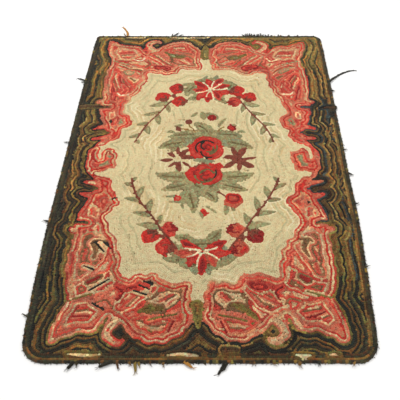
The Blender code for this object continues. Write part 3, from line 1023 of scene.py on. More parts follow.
def hook_scrolls(chart, band):
    """The scrolls: single rows, then rows that echo the band's edges, then the limbs and what is left."""
    for far, near, points in SCROLL_VEINS:
        for quarter in QUARTERS:
            chart.line(far if quarter[1] > 0 else near, drawn(points, quarter), "scrolls")
    for x, y, degrees, length in DASHES:
        half = turned((1.0, 0.0), degrees) * 0.5 * length
        chart.line("b", [(x - half[0], y - half[1]), (x + half[0], y + half[1])], "scrolls")
    depth = len(SCROLL_EDGE_YARNS) * ROW
    clear = (band < depth) & (chart.free > 0.45 * ROW)
    chart.rest(band, scroll_edge_yarn, "scrolls", keep=clear, echo=False)
    for letters, circles in reversed(SIDE_LIMBS):
        for side in (1, -1):
            chart.limb(letters, laid_over(circles, side), "scrolls", within=band - depth)
    for far, near, circles in reversed(SCROLL_LIMBS):
        for quarter in QUARTERS:
            chart.limb(far if quarter[1] > 0 else near, drawn(circles, quarter), "scrolls", within=band - depth)
    chart.rest(band - depth, band_yarn, "scrolls")


def hooked_rows():
    """All rows of loops, from the top layer of the chart down to the border."""
    chart = Chart()
    outside = with_curls(closed_field(scalloped(folded(SCROLLS_OUTSIDE), OUTER_SCALLOP)))
    outside += wobble(ACROSS[None, :], ALONG[:, None])
    inside = closed_field(scalloped(folded(SCROLLS_INSIDE), -INNER_SCALLOP))
    for side in (1, -1):
        own, window = limb_field(laid_over(SIDE_SLOT, side))
        np.maximum(inside[window], own, out=inside[window])
    inside += wobble(ACROSS[None, :] + 0.3, ALONG[:, None])
    for circles in WORN:
        chart.limb("x", circles, "border", rise=0.3)
    hook_flowers(chart)
    hook_scrolls(chart, np.minimum(outside, -inside))
    for letters, circles in BORDER_PATCHES:
        chart.limb(letters, circles, "border")
    chart.ground(inside, ground_yarn, "ground", chart.edge > 0.0)
    rim = (chart.edge > 0.3 * ROW) & (chart.edge < EDGE_ROW_COUNT * ROW)
    chart.rest(chart.edge, edge_yarn, "border", keep=rim)
    chart.ground(-outside, border_yarn, "border", chart.edge >= EDGE_ROW_COUNT * ROW)
    return chart


def stamped(chart, places):
    """How far each place of the grid is from the nearest place of a row, and that one's number."""
    near = np.full(chart.free.shape, REACH)
    number = np.zeros(chart.free.shape, dtype=int)
    row, column = on_grid(places)
    for step_y in range(-4, 5):
        for step_x in range(-4, 5):
            r = np.clip(row + step_y, 0, len(ALONG) - 1)
            c = np.clip(column + step_x, 0, len(ACROSS) - 1)
            away = np.hypot(ACROSS[c] - places[:, 0], ALONG[r] - places[:, 1])
            order = np.argsort(-away, kind="stable")
            order = order[away[order] < near[r[order], c[order]]]
            near[r[order], c[order]] = away[order]
            number[r[order], c[order]] = order
    return near, number


def fill_bare_spots(chart):
    """Single loops where the rows leave the burlap bare, laid along the nearest row and of its yarn."""
    lines = [row[0] for row in chart.rows]
    ways = np.vstack([np.gradient(line, axis=0) for line in lines])
    yarns = np.concatenate([row[1] for row in chart.rows])
    sections = np.repeat([row[2] for row in chart.rows], [len(line) for line in lines])
    near, number = stamped(chart, np.vstack(lines))
    bare = (near > 0.57 * ROW) & (chart.edge > 0.35 * ROW)
    rows, columns = np.nonzero(bare)
    order = np.argsort(-near[rows, columns], kind="stable")
    taken = np.zeros(chart.free.shape, dtype=bool)
    span = int(0.72 * ROW / CELL)
    for row, column in zip(rows[order].tolist(), columns[order].tolist()):
        if taken[row, column]:
            continue
        taken[max(0, row - span):row + span + 1, max(0, column - span):column + span + 1] = True
        nearest = number[row, column]
        way = ways[nearest] * 0.1 * LOOP_PITCH / max(np.hypot(*ways[nearest]), 1e-9)
        place = np.array([ACROSS[column], ALONG[row]])
        line = np.stack([place, place + way])
        chart.rows.append((line, np.full(2, yarns[nearest]), sections[nearest], 1.0))


def edge_frame(edge, place):
    """A point on the outline of an edge at a place along it, with the way out and the way along."""
    if edge in ("far", "near"):
        side = 1.0 if edge == "far" else -1.0
        return np.array([place, side * HALF_LENGTH, 0.0]), np.array([0.0, side, 0.0]), np.array([1.0, 0.0, 0.0])
    side, column = (1.0, 2) if edge == "right" else (-1.0, 1)
    reach = HALF_WIDTH + swell(place, column)
    return np.array([side * reach, place, 0.0]), np.array([side, 0.0, 0.0]), np.array([0.0, 1.0, 0.0])


def loose_end(edge, row):
    """The middle line of a loose end, out of the edge, down to the floor and level along it, with its widths."""
    place, reach, shift, bow, width = (value * MILLIMETRE for value in row[:5])
    foot, out, along = edge_frame(edge, place)
    steps = max(4, round(math.hypot(reach, shift) / END_STEP))
    share = np.linspace(0.0, 1.0, steps + 1)[:, None]
    rest = width * CLOTH_THICKNESS / 2
    level = ROOT_HEIGHT + (rest - ROOT_HEIGHT) * eased(reach * share / DROP_LENGTH)
    sideways = shift * share + bow * 4.0 * share * (1.0 - share)
    path = foot + out * reach * share + along * sideways + np.array([0.0, 0.0, 1.0]) * level
    first_way = out + along * (shift + 4.0 * bow) / reach
    root = foot - first_way * ROOT_DEPTH + np.array([0.0, 0.0, ROOT_HEIGHT])
    widths = width * (1.0 - END_TAPER * share[:, 0] ** 2)
    return np.vstack([root, path]), np.concatenate([[width], widths])


def frayed(path, width):
    """Threads that have come loose at the tip of a rag end."""
    tip = path[-1]
    way = (path[-1] - path[-2]) / np.linalg.norm(path[-1] - path[-2])
    across = np.array([-way[1], way[0], 0.0])
    threads = []
    for lean in rng.uniform(-0.8, 0.8, FRAY_THREADS):
        share = np.linspace(-0.4, 1.0, 5)[:, None]
        length = rng.uniform(0.5, 1.1) * width
        threads.append(tip + across * lean * 0.3 * width + (way + lean * share * across) * share * length)
    return threads


def linear(colour):
    """A colour of the yarn table as the light values that Blender works with."""
    share = np.asarray(colour, dtype=float) / 255.0
    return np.where(share <= 0.04045, share / 12.92, ((share + 0.055) / 1.055) ** 2.4)


YARN_LIGHT = {letter: linear(colour) for letter, colour in YARNS.items()}


def dyed(line, letters, section):
    """The colour at each place of a row: every strip of rag along it has its own shade."""
    colours = np.array([YARN_LIGHT[letter] for letter in letters])
    along = np.concatenate([[0.0], np.cumsum(np.hypot(*np.diff(line, axis=0).T))])
    strips = (along / STRIP_LENGTH + rng.random()).astype(int)
    tone = STRIP_TONE[section]
    shade = 1.0 + tone * rng.standard_normal(strips.max() + 1)
    warmth = 0.35 * tone * rng.standard_normal(strips.max() + 1)
    tint = np.stack([1.0 + warmth, np.ones(len(warmth)), 1.0 - warmth], axis=1)
    # Painted shade: the colour is darkened towards the near end of the rug
    painted_near_shade = 1.0 - NEAR_PAINTED_SHADE * eased((-0.10 - line[:, 1]) / 0.5)
    return np.clip(colours * (shade[strips] * painted_near_shade)[:, None] * tint[strips], 0.0, 1.0)


def side_of(section, place):
    """The piece that a place of a row belongs to."""
    if section == "flowers":
        return "pile_flowers"
    if section == "scrolls":
        return "pile_scrolls_left" if place[0] < 0.0 else "pile_scrolls_right"
    if section == "ground":
        return "pile_ground_near" if place[1] < 0.0 else "pile_ground_far"
    if abs(place[1]) > 0.40:
        return "pile_border_near" if place[1] < 0.0 else "pile_border_far"
    return "pile_border_left" if place[0] < 0.0 else "pile_border_right"


def rows_by_piece(chart):
    """The rows cut where one piece of the pile ends and the next begins, with colours and heights."""
    pieces = {}
    for line, letters, section, rise in chart.rows:
        colours = dyed(line, letters, section)
        names = np.array([side_of(section, place) for place in line])
        inside = chart.edge[on_grid(line)]
        height = rise * (pile_height(line[:, 0], line[:, 1], inside) - BURLAP_TOP)
        ways = np.gradient(line, axis=0)
        for name in sorted(set(names)):
            for first, end in runs(names == name):
                if end - first > 1:
                    part = slice(first, end)
                    tweed = np.full(end - first, TWEED[section])
                    pieces.setdefault(name, []).append(
                        (line[part], ways[part], colours[part], height[part], tweed))
    return pieces


def lines_object(piece_name, lines, colours, numbers):
    """Separate lines as one mesh that carries a colour and named numbers for each of its points."""
    starts = np.cumsum([0] + [len(line) for line in lines[:-1]])
    edges = []
    for start, line in zip(starts, lines):
        first = np.arange(start, start + len(line) - 1)
        edges.append(np.stack([first, first + 1], axis=1))
    mesh = bpy.data.meshes.new(piece_name + "_lines")
    mesh.from_pydata(np.vstack(lines).tolist(), np.vstack(edges).tolist(), [])
    opaque = np.hstack([np.vstack(colours), np.ones((len(mesh.vertices), 1))])
    mesh.attributes.new("yarn", "FLOAT_COLOR", "POINT").data.foreach_set("color", opaque.ravel())
    for name, values in numbers.items():
        mesh.attributes.new(name, "FLOAT", "POINT").data.foreach_set("value", np.concatenate(values))
    made = bpy.data.objects.new(piece_name, mesh)
    bpy.context.scene.collection.objects.link(made)
    return made


def rows_object(piece_name, rows, level=BURLAP_TOP):
    """The rows of one piece as a mesh of lines that carries colour, height and direction."""
    lines = [np.hstack([row[0], np.full((len(row[0]), 1), level)]) for row in rows]
    made = lines_object(piece_name, lines, [row[2] for row in rows], {
        "height": [row[3] for row in rows],
        "tweed": [row[4] for row in rows],
    })
    flat_ways = np.vstack([row[1] for row in rows])
    ways = np.hstack([flat_ways, np.zeros((len(flat_ways), 1))])
    made.data.attributes.new("way", "FLOAT_VECTOR", "POINT").data.foreach_set("vector", ways.ravel())
    return made


def rag_loop():
    """One loop of rag, a unit long, wide and high: low at both ends, where it goes down into the burlap."""
    work = bmesh.new()
    bmesh.ops.create_grid(work, x_segments=3, y_segments=3, size=0.5)
    for vertex in work.verts:
        along, across = vertex.co.x, vertex.co.y
        outer_x, outer_y = abs(along) > 0.4, abs(across) > 0.4
        vertex.co.x = math.copysign(0.5 if outer_x else 0.24, along)
        vertex.co.y = math.copysign(0.5 if outer_y else 0.26, across)
        if outer_x and outer_y:
            vertex.co.y *= 0.86
        vertex.co.z = (0.62 if outer_x else 1.0) * (0.72 if outer_y else 1.0)
    for face in work.faces:
        face.smooth = True
    mesh = bpy.data.meshes.new("rag_loop")
    work.to_mesh(mesh)
    work.free()
    made = bpy.data.objects.new("rag_loop", mesh)
    bpy.context.scene.collection.objects.link(made)
    return made


def whip_stitch():
    """One stitch of rag over the edge, a unit long, wide and high: an arch that stands on the floor."""
    work = bmesh.new()
    bmesh.ops.create_grid(work, x_segments=2, y_segments=6, size=0.5)
    for vertex in work.verts:
        along, share = vertex.co.x, 2.0 * vertex.co.y
        angle = 0.5 * math.pi * (1.0 - share)
        bulge = 1.0 if abs(along) < 0.1 else 0.88
        vertex.co.y = 0.5 * bulge * math.copysign(abs(math.cos(angle)) ** 0.6, share)
        vertex.co.z = bulge * abs(math.sin(angle)) ** 0.6
    for face in work.faces:
        face.smooth = True
    mesh = bpy.data.meshes.new("whip_stitch")
    work.to_mesh(mesh)
    work.free()
    made = bpy.data.objects.new("whip_stitch", mesh)
    bpy.context.scene.collection.objects.link(made)
    return made


def add_node(tree, kind, inputs=None, **settings):
    """A node with its settings; an input is a value, or the socket that feeds it."""
    made = tree.nodes.new(kind)
    for name, value in settings.items():
        setattr(made, name, value)
    for name, value in (inputs or {}).items():
        if isinstance(value, bpy.types.NodeSocket):
            tree.links.new(value, made.inputs[name])
        else:
            made.inputs[name].default_value = value
    return made


def new_tree(name, sockets):
    """An empty Geometry Nodes tree with its named inputs."""
    tree = bpy.data.node_groups.new(name, "GeometryNodeTree")
    tree.interface.new_socket("Geometry", in_out="INPUT", socket_type="NodeSocketGeometry")
    tree.interface.new_socket("Geometry", in_out="OUTPUT", socket_type="NodeSocketGeometry")
    for label, kind in sockets:
        tree.interface.new_socket(label, in_out="INPUT", socket_type=kind)
    return tree, tree.nodes.new("NodeGroupInput"), tree.nodes.new("NodeGroupOutput")


def pile_tree():
    """Geometry Nodes that set a rag loop every pitch along the rows, each a little askew."""
    tree, given, result = new_tree("rag_pile", (
        ("Loop", "NodeSocketObject"),
        ("Yarn", "NodeSocketMaterial"),
        ("Pitch", "NodeSocketFloat"),
        ("Width", "NodeSocketFloat"),
        ("Overlap", "NodeSocketFloat"),
        ("Lean", "NodeSocketFloat"),
        ("Turn", "NodeSocketFloat"),
        ("Unevenness", "NodeSocketFloat"),
        ("Seed", "NodeSocketInt"),
    ))
    give = given.outputs
    curve = add_node(tree, "GeometryNodeMeshToCurve", {"Mesh": give["Geometry"]})
    length = add_node(tree, "GeometryNodeSplineLength")
    share = add_node(tree, "ShaderNodeMath", {0: length.outputs["Length"], 1: give["Pitch"]}, operation="DIVIDE")
    whole = add_node(tree, "ShaderNodeMath", {0: share.outputs[0]}, operation="ROUND")
    count = add_node(tree, "ShaderNodeMath", {0: whole.outputs[0], 1: 1.0}, operation="ADD")
    places = add_node(tree, "GeometryNodeResampleCurve", {"Curve": curve.outputs[0]})
    set_mode(places, "COUNT")
    tree.links.new(count.outputs[0], places.inputs["Count"])
    tone = random_value(tree, "FLOAT_VECTOR", (-1.0, -1.0, -1.0), (1.0, 1.0, 1.0), give["Seed"])
    toned = add_node(tree, "GeometryNodeStoreNamedAttribute", {
        "Geometry": places.outputs[0],
        "Name": "tone",
        "Value": tone,
    }, data_type="FLOAT_VECTOR", domain="POINT")
    way = add_node(tree, "GeometryNodeInputNamedAttribute", {"Name": "way"}, data_type="FLOAT_VECTOR")
    height = add_node(tree, "GeometryNodeInputNamedAttribute", {"Name": "height"}, data_type="FLOAT")
    facing = add_node(tree, "FunctionNodeAlignRotationToVector", {"Vector": way.outputs[0]},
                      axis="X", pivot_axis="Z")
    lean = random_value(tree, "FLOAT_VECTOR", (-1.0, -1.0, -1.0), (1.0, 1.0, 1.0), give["Seed"])
    amount = add_node(tree, "ShaderNodeCombineXYZ", {0: give["Lean"], 1: give["Lean"], 2: give["Turn"]})
    leaning = add_node(tree, "ShaderNodeVectorMath", {0: lean, 1: amount.outputs[0]}, operation="MULTIPLY")
    askew = add_node(tree, "FunctionNodeEulerToRotation", {0: leaning.outputs[0]})
    turned = add_node(tree, "FunctionNodeRotateRotation", {0: facing.outputs[0], 1: askew.outputs[0]},
                      rotation_space="LOCAL")
    long = add_node(tree, "ShaderNodeMath", {0: give["Pitch"], 1: give["Overlap"]}, operation="MULTIPLY")
    size = add_node(tree, "ShaderNodeCombineXYZ", {0: long.outputs[0], 1: give["Width"], 2: height.outputs[0]})
    more = add_node(tree, "ShaderNodeMath", {0: 1.0, 1: give["Unevenness"]}, operation="ADD")
    less = add_node(tree, "ShaderNodeMath", {0: 1.0, 1: give["Unevenness"]}, operation="SUBTRACT")
    swing = random_value(tree, "FLOAT_VECTOR", less.outputs[0], more.outputs[0], give["Seed"])
    scale = add_node(tree, "ShaderNodeVectorMath", {0: size.outputs[0], 1: swing}, operation="MULTIPLY")
    loop = add_node(tree, "GeometryNodeObjectInfo", {"Object": give["Loop"]})
    placed = add_node(tree, "GeometryNodeInstanceOnPoints", {
        "Points": toned.outputs[0],
        "Instance": loop.outputs["Geometry"],
        "Rotation": turned.outputs[0],
        "Scale": scale.outputs[0],
    })
    made = add_node(tree, "GeometryNodeRealizeInstances", {"Geometry": placed.outputs[0]})
    dyed_loops = add_node(tree, "GeometryNodeSetMaterial", {"Geometry": made.outputs[0], "Material": give["Yarn"]})
    tree.links.new(dyed_loops.outputs[0], result.inputs[0])
    return tree


def cloth_tree():
    """Geometry Nodes that sweep a flattened tube of cloth along lines, crumple it and lay it on the floor."""
    tree, given, result = new_tree("swept_cloth", (
        ("Cloth", "NodeSocketMaterial"),
        ("Step", "NodeSocketFloat"),
        ("Sides", "NodeSocketInt"),
        ("Thickness", "NodeSocketFloat"),
        ("Crumple", "NodeSocketFloat"),
        ("Crumple Scale", "NodeSocketFloat"),
        ("Twist", "NodeSocketFloat"),
        ("Floor", "NodeSocketFloat"),
    ))
    give = given.outputs
    curve = add_node(tree, "GeometryNodeMeshToCurve", {"Mesh": give["Geometry"]})
    places = add_node(tree, "GeometryNodeResampleCurve", {"Curve": curve.outputs[0]})
    set_mode(places, "LENGTH")
    tree.links.new(give["Step"], places.inputs["Length"])
    upright = add_node(tree, "GeometryNodeSetCurveNormal", {"Curve": places.outputs[0]})
    set_mode(upright, "Z_UP")
    place = add_node(tree, "GeometryNodeInputPosition").outputs[0]
    folds = add_node(tree, "ShaderNodeTexNoise", {"Vector": place, "Scale": give["Crumple Scale"], "Detail": 2.0})
    swing = add_node(tree, "ShaderNodeMath", {0: folds.outputs["Fac"], 1: 0.5}, operation="SUBTRACT")
    turn = add_node(tree, "ShaderNodeMath", {0: swing.outputs[0], 1: give["Twist"]}, operation="MULTIPLY")
    tilted = add_node(tree, "GeometryNodeSetCurveTilt", {"Curve": upright.outputs[0], "Tilt": turn.outputs[0]})
    ring = add_node(tree, "GeometryNodeCurvePrimitiveCircle", {"Resolution": give["Sides"], "Radius": 0.5})
    oval = add_node(tree, "ShaderNodeCombineXYZ", {0: 1.0, 1: give["Thickness"], 2: 1.0})
    profile = add_node(tree, "GeometryNodeTransform", {"Geometry": ring.outputs[0], "Scale": oval.outputs[0]})
    width = add_node(tree, "GeometryNodeInputNamedAttribute", {"Name": "width"}, data_type="FLOAT")
    tube = add_node(tree, "GeometryNodeCurveToMesh", {
        "Curve": tilted.outputs[0],
        "Profile Curve": profile.outputs[0],
        "Scale": width.outputs[0],
        "Fill Caps": True,
    })
    centred = add_node(tree, "ShaderNodeVectorMath", {0: folds.outputs["Color"], 1: (0.5, 0.5, 0.5)},
                       operation="SUBTRACT")
    push = add_node(tree, "ShaderNodeVectorMath", {0: centred.outputs[0], "Scale": give["Crumple"]},
                    operation="SCALE")
    crumpled = add_node(tree, "GeometryNodeSetPosition", {"Geometry": tube.outputs[0], "Offset": push.outputs[0]})
    now = add_node(tree, "ShaderNodeSeparateXYZ", {0: place})
    above = add_node(tree, "ShaderNodeMath", {0: now.outputs[2], 1: give["Floor"]}, operation="MAXIMUM")
    rested = add_node(tree, "ShaderNodeCombineXYZ", {0: now.outputs[0], 1: now.outputs[1], 2: above.outputs[0]})
    laid = add_node(tree, "GeometryNodeSetPosition", {"Geometry": crumpled.outputs[0], "Position": rested.outputs[0]})
    smooth = add_node(tree, "GeometryNodeSetShadeSmooth", {"Geometry": laid.outputs[0], "Shade Smooth": True})
    made = add_node(tree, "GeometryNodeRealizeInstances", {"Geometry": smooth.outputs[0]})
    dressed = add_node(tree, "GeometryNodeSetMaterial", {"Geometry": made.outputs[0], "Material": give["Cloth"]})
    tree.links.new(dressed.outputs[0], result.inputs[0])
    return tree


def set_mode(made, mode):
    """Sets a node's mode, which is a property in some versions and a socket in others."""
    if hasattr(made, "mode"):
        made.mode = mode
    else:
        made.inputs["Mode"].default_value = mode.title()


def random_value(tree, kind, low, high, seed):
    """A random value between two limits, one for each point."""
    made = tree.nodes.new("FunctionNodeRandomValue")
    made.data_type = kind
    first = 0 if kind == "FLOAT_VECTOR" else 2
    for index, value in ((first, low), (first + 1, high)):
        if isinstance(value, bpy.types.NodeSocket):
            tree.links.new(value, made.inputs[index])
        else:
            made.inputs[index].default_value = value
    tree.links.new(seed, made.inputs["Seed"])
    return made.outputs[0 if kind == "FLOAT_VECTOR" else 1]


def applied(obj, tree, values, leftovers=()):
    """The object with the tree's result as its plain mesh."""
    modifier = obj.modifiers.new(tree.name, "NODES")
    modifier.node_group = tree
    sockets = {item.name: item.identifier for item in tree.interface.items_tree if item.in_out == "INPUT"}
    for name, value in values.items():
        modifier[sockets[name]] = value
    bpy.context.view_layer.update()
    depsgraph = bpy.context.evaluated_depsgraph_get()
    mesh = bpy.data.meshes.new_from_object(
        obj.evaluated_get(depsgraph), preserve_all_data_layers=True, depsgraph=depsgraph)
    for name in leftovers:
        if name in mesh.attributes:
            mesh.attributes.remove(mesh.attributes[name])
    obj.modifiers.remove(modifier)
    old = obj.data
    obj.data = mesh
    mesh.name = obj.name
    if isinstance(old, bpy.types.Mesh):
        bpy.data.meshes.remove(old)
    return obj


def flat_uv(obj):
    """A map that looks straight down on the rug, named OFBake."""
    mesh = obj.data
    layer = mesh.uv_layers.get("OFBake") or mesh.uv_layers.new(name="OFBake")
    places = np.empty(3 * len(mesh.vertices))
    mesh.vertices.foreach_get("co", places)
    places = places.reshape(-1, 3)
    places = places[:, :2] + places[:, 2:] * np.array(MAP_SKEW)
    corners = np.empty(len(mesh.loops), dtype=int)
    mesh.loops.foreach_get("vertex_index", corners)
    low, high = places.min(axis=0), places.max(axis=0)
    span = max(high - low)
    layer.data.foreach_set("uv", ((places[corners] - low) / span).ravel())
    mesh.uv_layers.active = layer


# Materials


def shader_of(name):
    """A new material with its node tree and its Principled shader."""
    made = bpy.data.materials.new(name)
    made.use_nodes = True
    return made, made.node_tree, made.node_tree.nodes["Principled BSDF"]


def noise(tree, scale, detail=3.0, stretch=None):
    """Noise on the object's own coordinates, stretched along an axis where asked."""
    place = add_node(tree, "ShaderNodeTexCoord").outputs["Object"]
    if stretch is not None:
        place = add_node(tree, "ShaderNodeMapping", {"Vector": place, "Scale": stretch}).outputs[0]
    return add_node(tree, "ShaderNodeTexNoise", {"Vector": place, "Scale": scale, "Detail": detail}).outputs["Fac"]


def spread(tree, value, low, high):
    """A value from 0 to 1 spread over other limits."""
    return add_node(tree, "ShaderNodeMapRange", {"Value": value, "To Min": low, "To Max": high}).outputs[0]


def times(tree, one, other):
    return add_node(tree, "ShaderNodeMath", {0: one, 1: other}, operation="MULTIPLY").outputs[0]


def plus(tree, one, other):
    return add_node(tree, "ShaderNodeMath", {0: one, 1: other}, operation="ADD").outputs[0]


def shaded(tree, colour, factor):
    """A colour made lighter or darker by a factor."""
    return add_node(tree, "ShaderNodeVectorMath", {0: colour, "Scale": factor}, operation="SCALE").outputs[0]


def bump(tree, shader, height, strength, distance, under=None):
    inputs = {"Height": height, "Strength": strength, "Distance": distance}
    if under is not None:
        inputs["Normal"] = under
    made = add_node(tree, "ShaderNodeBump", inputs)
    tree.links.new(made.outputs[0], shader.inputs["Normal"])
    return made.outputs[0]


def yarn_material():
    """Rag cloth in the colour that each loop carries, with its weave, fibres, fading and soil."""
    made, tree, shader = shader_of("rag_yarn")
    colour = add_node(tree, "ShaderNodeAttribute", attribute_name="yarn").outputs["Color"]
    tone = add_node(tree, "ShaderNodeAttribute", attribute_name="tone").outputs["Vector"]
    tweed = add_node(tree, "ShaderNodeAttribute", attribute_name="tweed").outputs["Fac"]
    parts = add_node(tree, "ShaderNodeSeparateXYZ", {0: tone}).outputs
    light = plus(tree, times(tree, times(tree, parts[0], tweed), 0.36), 0.97)
    hue = times(tree, times(tree, parts[1], tweed), 0.50)
    tint = add_node(tree, "ShaderNodeCombineXYZ", {
        0: plus(tree, times(tree, hue, -0.20), 1.0),
        1: plus(tree, hue, 1.0),
        2: plus(tree, hue, 1.0),
    }).outputs[0]
    mixed = add_node(tree, "ShaderNodeVectorMath", {0: colour, 1: tint}, operation="MULTIPLY").outputs[0]
    fibre = spread(tree, noise(tree, 850.0, 4.0), 0.72, 1.28)
    soil = spread(tree, noise(tree, 9.0, 5.0), 0.88, 1.10)
    factor = times(tree, times(tree, light, fibre), soil)
    tree.links.new(shaded(tree, mixed, factor), shader.inputs["Base Color"])
    shader.inputs["Roughness"].default_value = 0.95
    shader.inputs["Sheen Weight"].default_value = 0.12
    shader.inputs["Sheen Roughness"].default_value = 0.6
    shader.inputs["Specular IOR Level"].default_value = 0.15
    weave = bump(tree, shader, noise(tree, 1300.0, 2.0), 0.5, 0.0006)
    bump(tree, shader, noise(tree, 420.0, 2.0), 0.5, 0.0012, weave)
    return made


def burlap_material():
    """The coarse open weave of the burlap ground."""
    made, tree, shader = shader_of("burlap")
    weft = noise(tree, 520.0, 2.0, (0.12, 1.0, 1.0))
    warp = noise(tree, 520.0, 2.0, (1.0, 0.12, 1.0))
    weave = add_node(tree, "ShaderNodeMath", {0: weft, 1: warp}, operation="ADD").outputs[0]
    ramp = add_node(tree, "ShaderNodeValToRGB", {"Fac": times(tree, weave, 0.5)})
    ramp.color_ramp.elements[0].position = 0.38
    ramp.color_ramp.elements[0].color = (*linear((104, 82, 52)), 1.0)
    ramp.color_ramp.elements[1].position = 0.62
    ramp.color_ramp.elements[1].color = (*linear((176, 148, 104)), 1.0)
    tree.links.new(ramp.outputs[0], shader.inputs["Base Color"])
    shader.inputs["Roughness"].default_value = 0.96
    bump(tree, shader, weave, 0.6, 0.0010)
    return made


def floor_material():
    made, tree, shader = shader_of("pale_floor")
    shader.inputs["Base Color"].default_value = (*linear((244, 243, 241)), 1.0)
    shader.inputs["Roughness"].default_value = 0.9
    return made


# Pieces


def pile_pieces(chart, yarn):
    """The pile, one piece for each part of the rug's chart."""
    loop = rag_loop()
    tree = pile_tree()
    made = []
    for number, (name, rows) in enumerate(sorted(rows_by_piece(chart).items())):
        piece = applied(rows_object(name, rows), tree, {
            "Loop": loop,
            "Yarn": yarn,
            "Pitch": LOOP_PITCH,
            "Width": LOOP_WIDTH,
            "Overlap": 1.28,
            "Lean": 0.14,
            "Turn": 0.30,
            "Unevenness": 0.13,
            "Seed": 40 + number,
        }, ("way", "height"))
        flat_uv(piece)
        made.append(piece)
    bpy.data.objects.remove(loop)
    return made


def edge_line():
    """The middle of the bound edge, all round the rug and back to its start."""
    line = smooth_line(outline(BINDING_WIDTH / 2), 0.004, closed=True)
    return np.vstack([line, line[:1]])


def edge_binding(tree, material):
    """The edge turned over and bound with dark cloth, uneven as hand work is."""
    line = edge_line()
    raised = np.hstack([line, np.full((len(line), 1), BINDING_HEIGHT / 2)])
    colours = dyed(line, np.full(len(line), "j"), "border")
    made = lines_object("edge_binding", [raised], [colours], {"width": [np.full(len(line), BINDING_WIDTH)]})
    return applied(made, tree, {
        "Cloth": material,
        "Step": 0.005,
        "Sides": 8,
        "Thickness": 1.0,
        "Crumple": 0.0034,
        "Crumple Scale": 90.0,
        "Twist": 0.6,
        "Floor": 0.0004,
    }, ("width",))


def edge_stitches(material):
    """The stitches of mixed dark rags that whip the edge over."""
    line = edge_line()
    stretches = rng.integers(0, len(STITCH_YARNS), len(line) // STITCH_STRETCH + 1)
    letters = np.array(list(STITCH_YARNS))[np.repeat(stretches, STITCH_STRETCH)[:len(line)]]
    tall = np.full(len(line), STITCH_HEIGHT)
    tweed = np.full(len(line), TWEED["border"])
    row = (line, np.gradient(line, axis=0), dyed(line, letters, "border"), tall, tweed)
    stitch = whip_stitch()
    made = applied(rows_object("edge_stitches", [row], 0.0), pile_tree(), {
        "Loop": stitch,
        "Yarn": material,
        "Pitch": STITCH_PITCH,
        "Width": STITCH_REACH,
        "Overlap": 0.98,
        "Lean": 0.0,
        "Turn": 0.42,
        "Unevenness": 0.20,
        "Seed": 90,
    }, ("way", "height"))
    bpy.data.objects.remove(stitch)
    return made


def edge_threads():
    """Short threads that have worked loose all round the bound edge, with their shades."""
    line = edge_line()
    ways = np.gradient(line, axis=0)
    threads = []
    for number in range(0, len(line), FUZZ_STEP):
        way = ways[number] / np.hypot(*ways[number])
        out = np.array([way[1], -way[0], 0.0])
        along = np.array([way[0], way[1], 0.0]) * rng.uniform(-0.8, 0.8)
        length = rng.uniform(*FUZZ_LENGTH)
        low = rng.uniform(0.0015, 0.0055)
        start = np.array([*line[number], low]) + out * 0.3 * BINDING_WIDTH
        steps = np.linspace(0.0, 1.0, 4)[:, None]
        drop = np.array([0.0, 0.0, -0.7 * low])
        threads.append(start + (out + along * steps) * steps * length + drop * steps**2)
    return threads


def rag_ends(tree, material):
    """The loose ends of rag round the edge, with threads that fray from their tips and from the binding."""
    lines, widths, colours = [], [], []
    for thread in edge_threads():
        lines.append(thread)
        widths.append(np.full(len(thread), rng.uniform(0.8, 1.8) * FRAY_WIDTH))
        shade = YARN_LIGHT[FUZZ_YARNS[rng.integers(len(FUZZ_YARNS))]]
        colours.append(np.tile(shade, (len(thread), 1)))
    for edge, rows in RAG_ENDS.items():
        for row in rows:
            path, wide = loose_end(edge, row)
            threads = frayed(path, wide[0]) if len(path) > FRAY_THREADS else []
            shade = YARN_LIGHT[row[5]] * rng.uniform(0.85, 1.2)
            for line, width in [(path, wide)] + [(thread, np.full(5, FRAY_WIDTH)) for thread in threads]:
                lines.append(line)
                widths.append(width)
                colours.append(np.tile(shade, (len(line), 1)))
    made = lines_object("rag_ends", lines, colours, {"width": widths})
    return applied(made, tree, {
        "Cloth": material,
        "Step": 0.0022,
        "Sides": 8,
        "Thickness": CLOTH_THICKNESS,
        "Crumple": 0.0042,
        "Crumple Scale": 190.0,
        "Twist": 2.6,
        "Floor": 0.0003,
    }, ("width",))


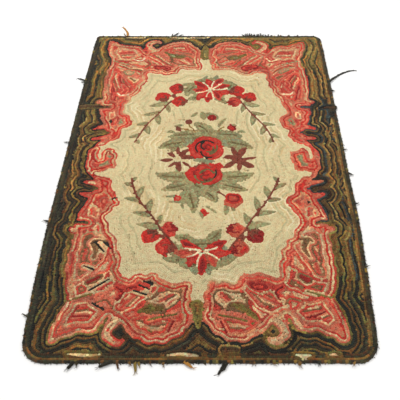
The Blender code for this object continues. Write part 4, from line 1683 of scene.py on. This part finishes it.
def burlap_ground(material):
    """The flat burlap that the loops are hooked through."""
    work = bmesh.new()
    corners = [work.verts.new((x, y, 0.0008)) for x, y in outline(BINDING_WIDTH * 0.6)]
    face = work.faces.new(corners)
    face.normal_update()
    if face.normal.z > 0.0:
        face.normal_flip()
    upper = bmesh.ops.extrude_face_region(work, geom=[face])["geom"]
    for vertex in upper:
        if isinstance(vertex, bmesh.types.BMVert):
            vertex.co.z = BURLAP_TOP
    bmesh.ops.triangulate(work, faces=work.faces)
    bmesh.ops.recalc_face_normals(work, faces=work.faces)
    mesh = bpy.data.meshes.new("burlap_ground")
    work.to_mesh(mesh)
    work.free()
    made = bpy.data.objects.new("burlap_ground", mesh)
    bpy.context.scene.collection.objects.link(made)
    mesh.materials.append(material)
    return made


def look_and_light():
    """The camera that stands at the rug's near end, the floor and soft light from above."""
    camera = bpy.data.objects.new("camera", bpy.data.cameras.new("camera"))
    bpy.context.scene.collection.objects.link(camera)
    camera.location = (0.0654, -1.357, 1.410)
    camera.rotation_euler = (math.radians(40.07), 0.0, 0.0)
    camera.data.lens = 51.75
    camera.data.sensor_width = 36.0
    camera.data.shift_x = -0.0615
    bpy.context.scene.camera = camera
    bpy.ops.mesh.primitive_plane_add(size=12.0)
    floor = bpy.context.object
    floor.name = "floor"
    floor.data.materials.append(floor_material())
    bpy.context.scene.view_settings.view_transform = "Standard"
    world = bpy.data.worlds.new("soft_room")
    bpy.context.scene.world = world
    world.use_nodes = True
    world.node_tree.nodes["Background"].inputs["Color"].default_value = (1.0, 1.0, 1.0, 1.0)
    world.node_tree.nodes["Background"].inputs["Strength"].default_value = 0.72
    for name, place, size, power in (
        ("key", (-0.9, 0.9, 2.6), 1.6, 40.0),
        ("fill", (1.4, -0.6, 2.4), 1.8, 16.0),
    ):
        light = bpy.data.objects.new(name, bpy.data.lights.new(name, "AREA"))
        bpy.context.scene.collection.objects.link(light)
        light.location = place
        light.data.size = size
        light.data.energy = power
        light.rotation_euler = (Vector((0.0, 0.0, 0.0)) - Vector(place)).to_track_quat("-Z", "Y").to_euler()


def main():
    look_and_light()
    chart = hooked_rows()
    fill_bare_spots(chart)
    yarn = yarn_material()
    pile = pile_pieces(chart, yarn)
    ground = burlap_ground(burlap_material())
    for piece in pile + [ground]:
        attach(piece, "root")
        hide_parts("rug_mat")
    cloth = cloth_tree()
    edging = [edge_binding(cloth, yarn), edge_stitches(yarn), rag_ends(cloth, yarn)]
    for piece in edging:
        flat_uv(piece)
        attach(piece, "root")
        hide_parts("binding_left", "binding_right", "binding_far", "binding_near")


main()
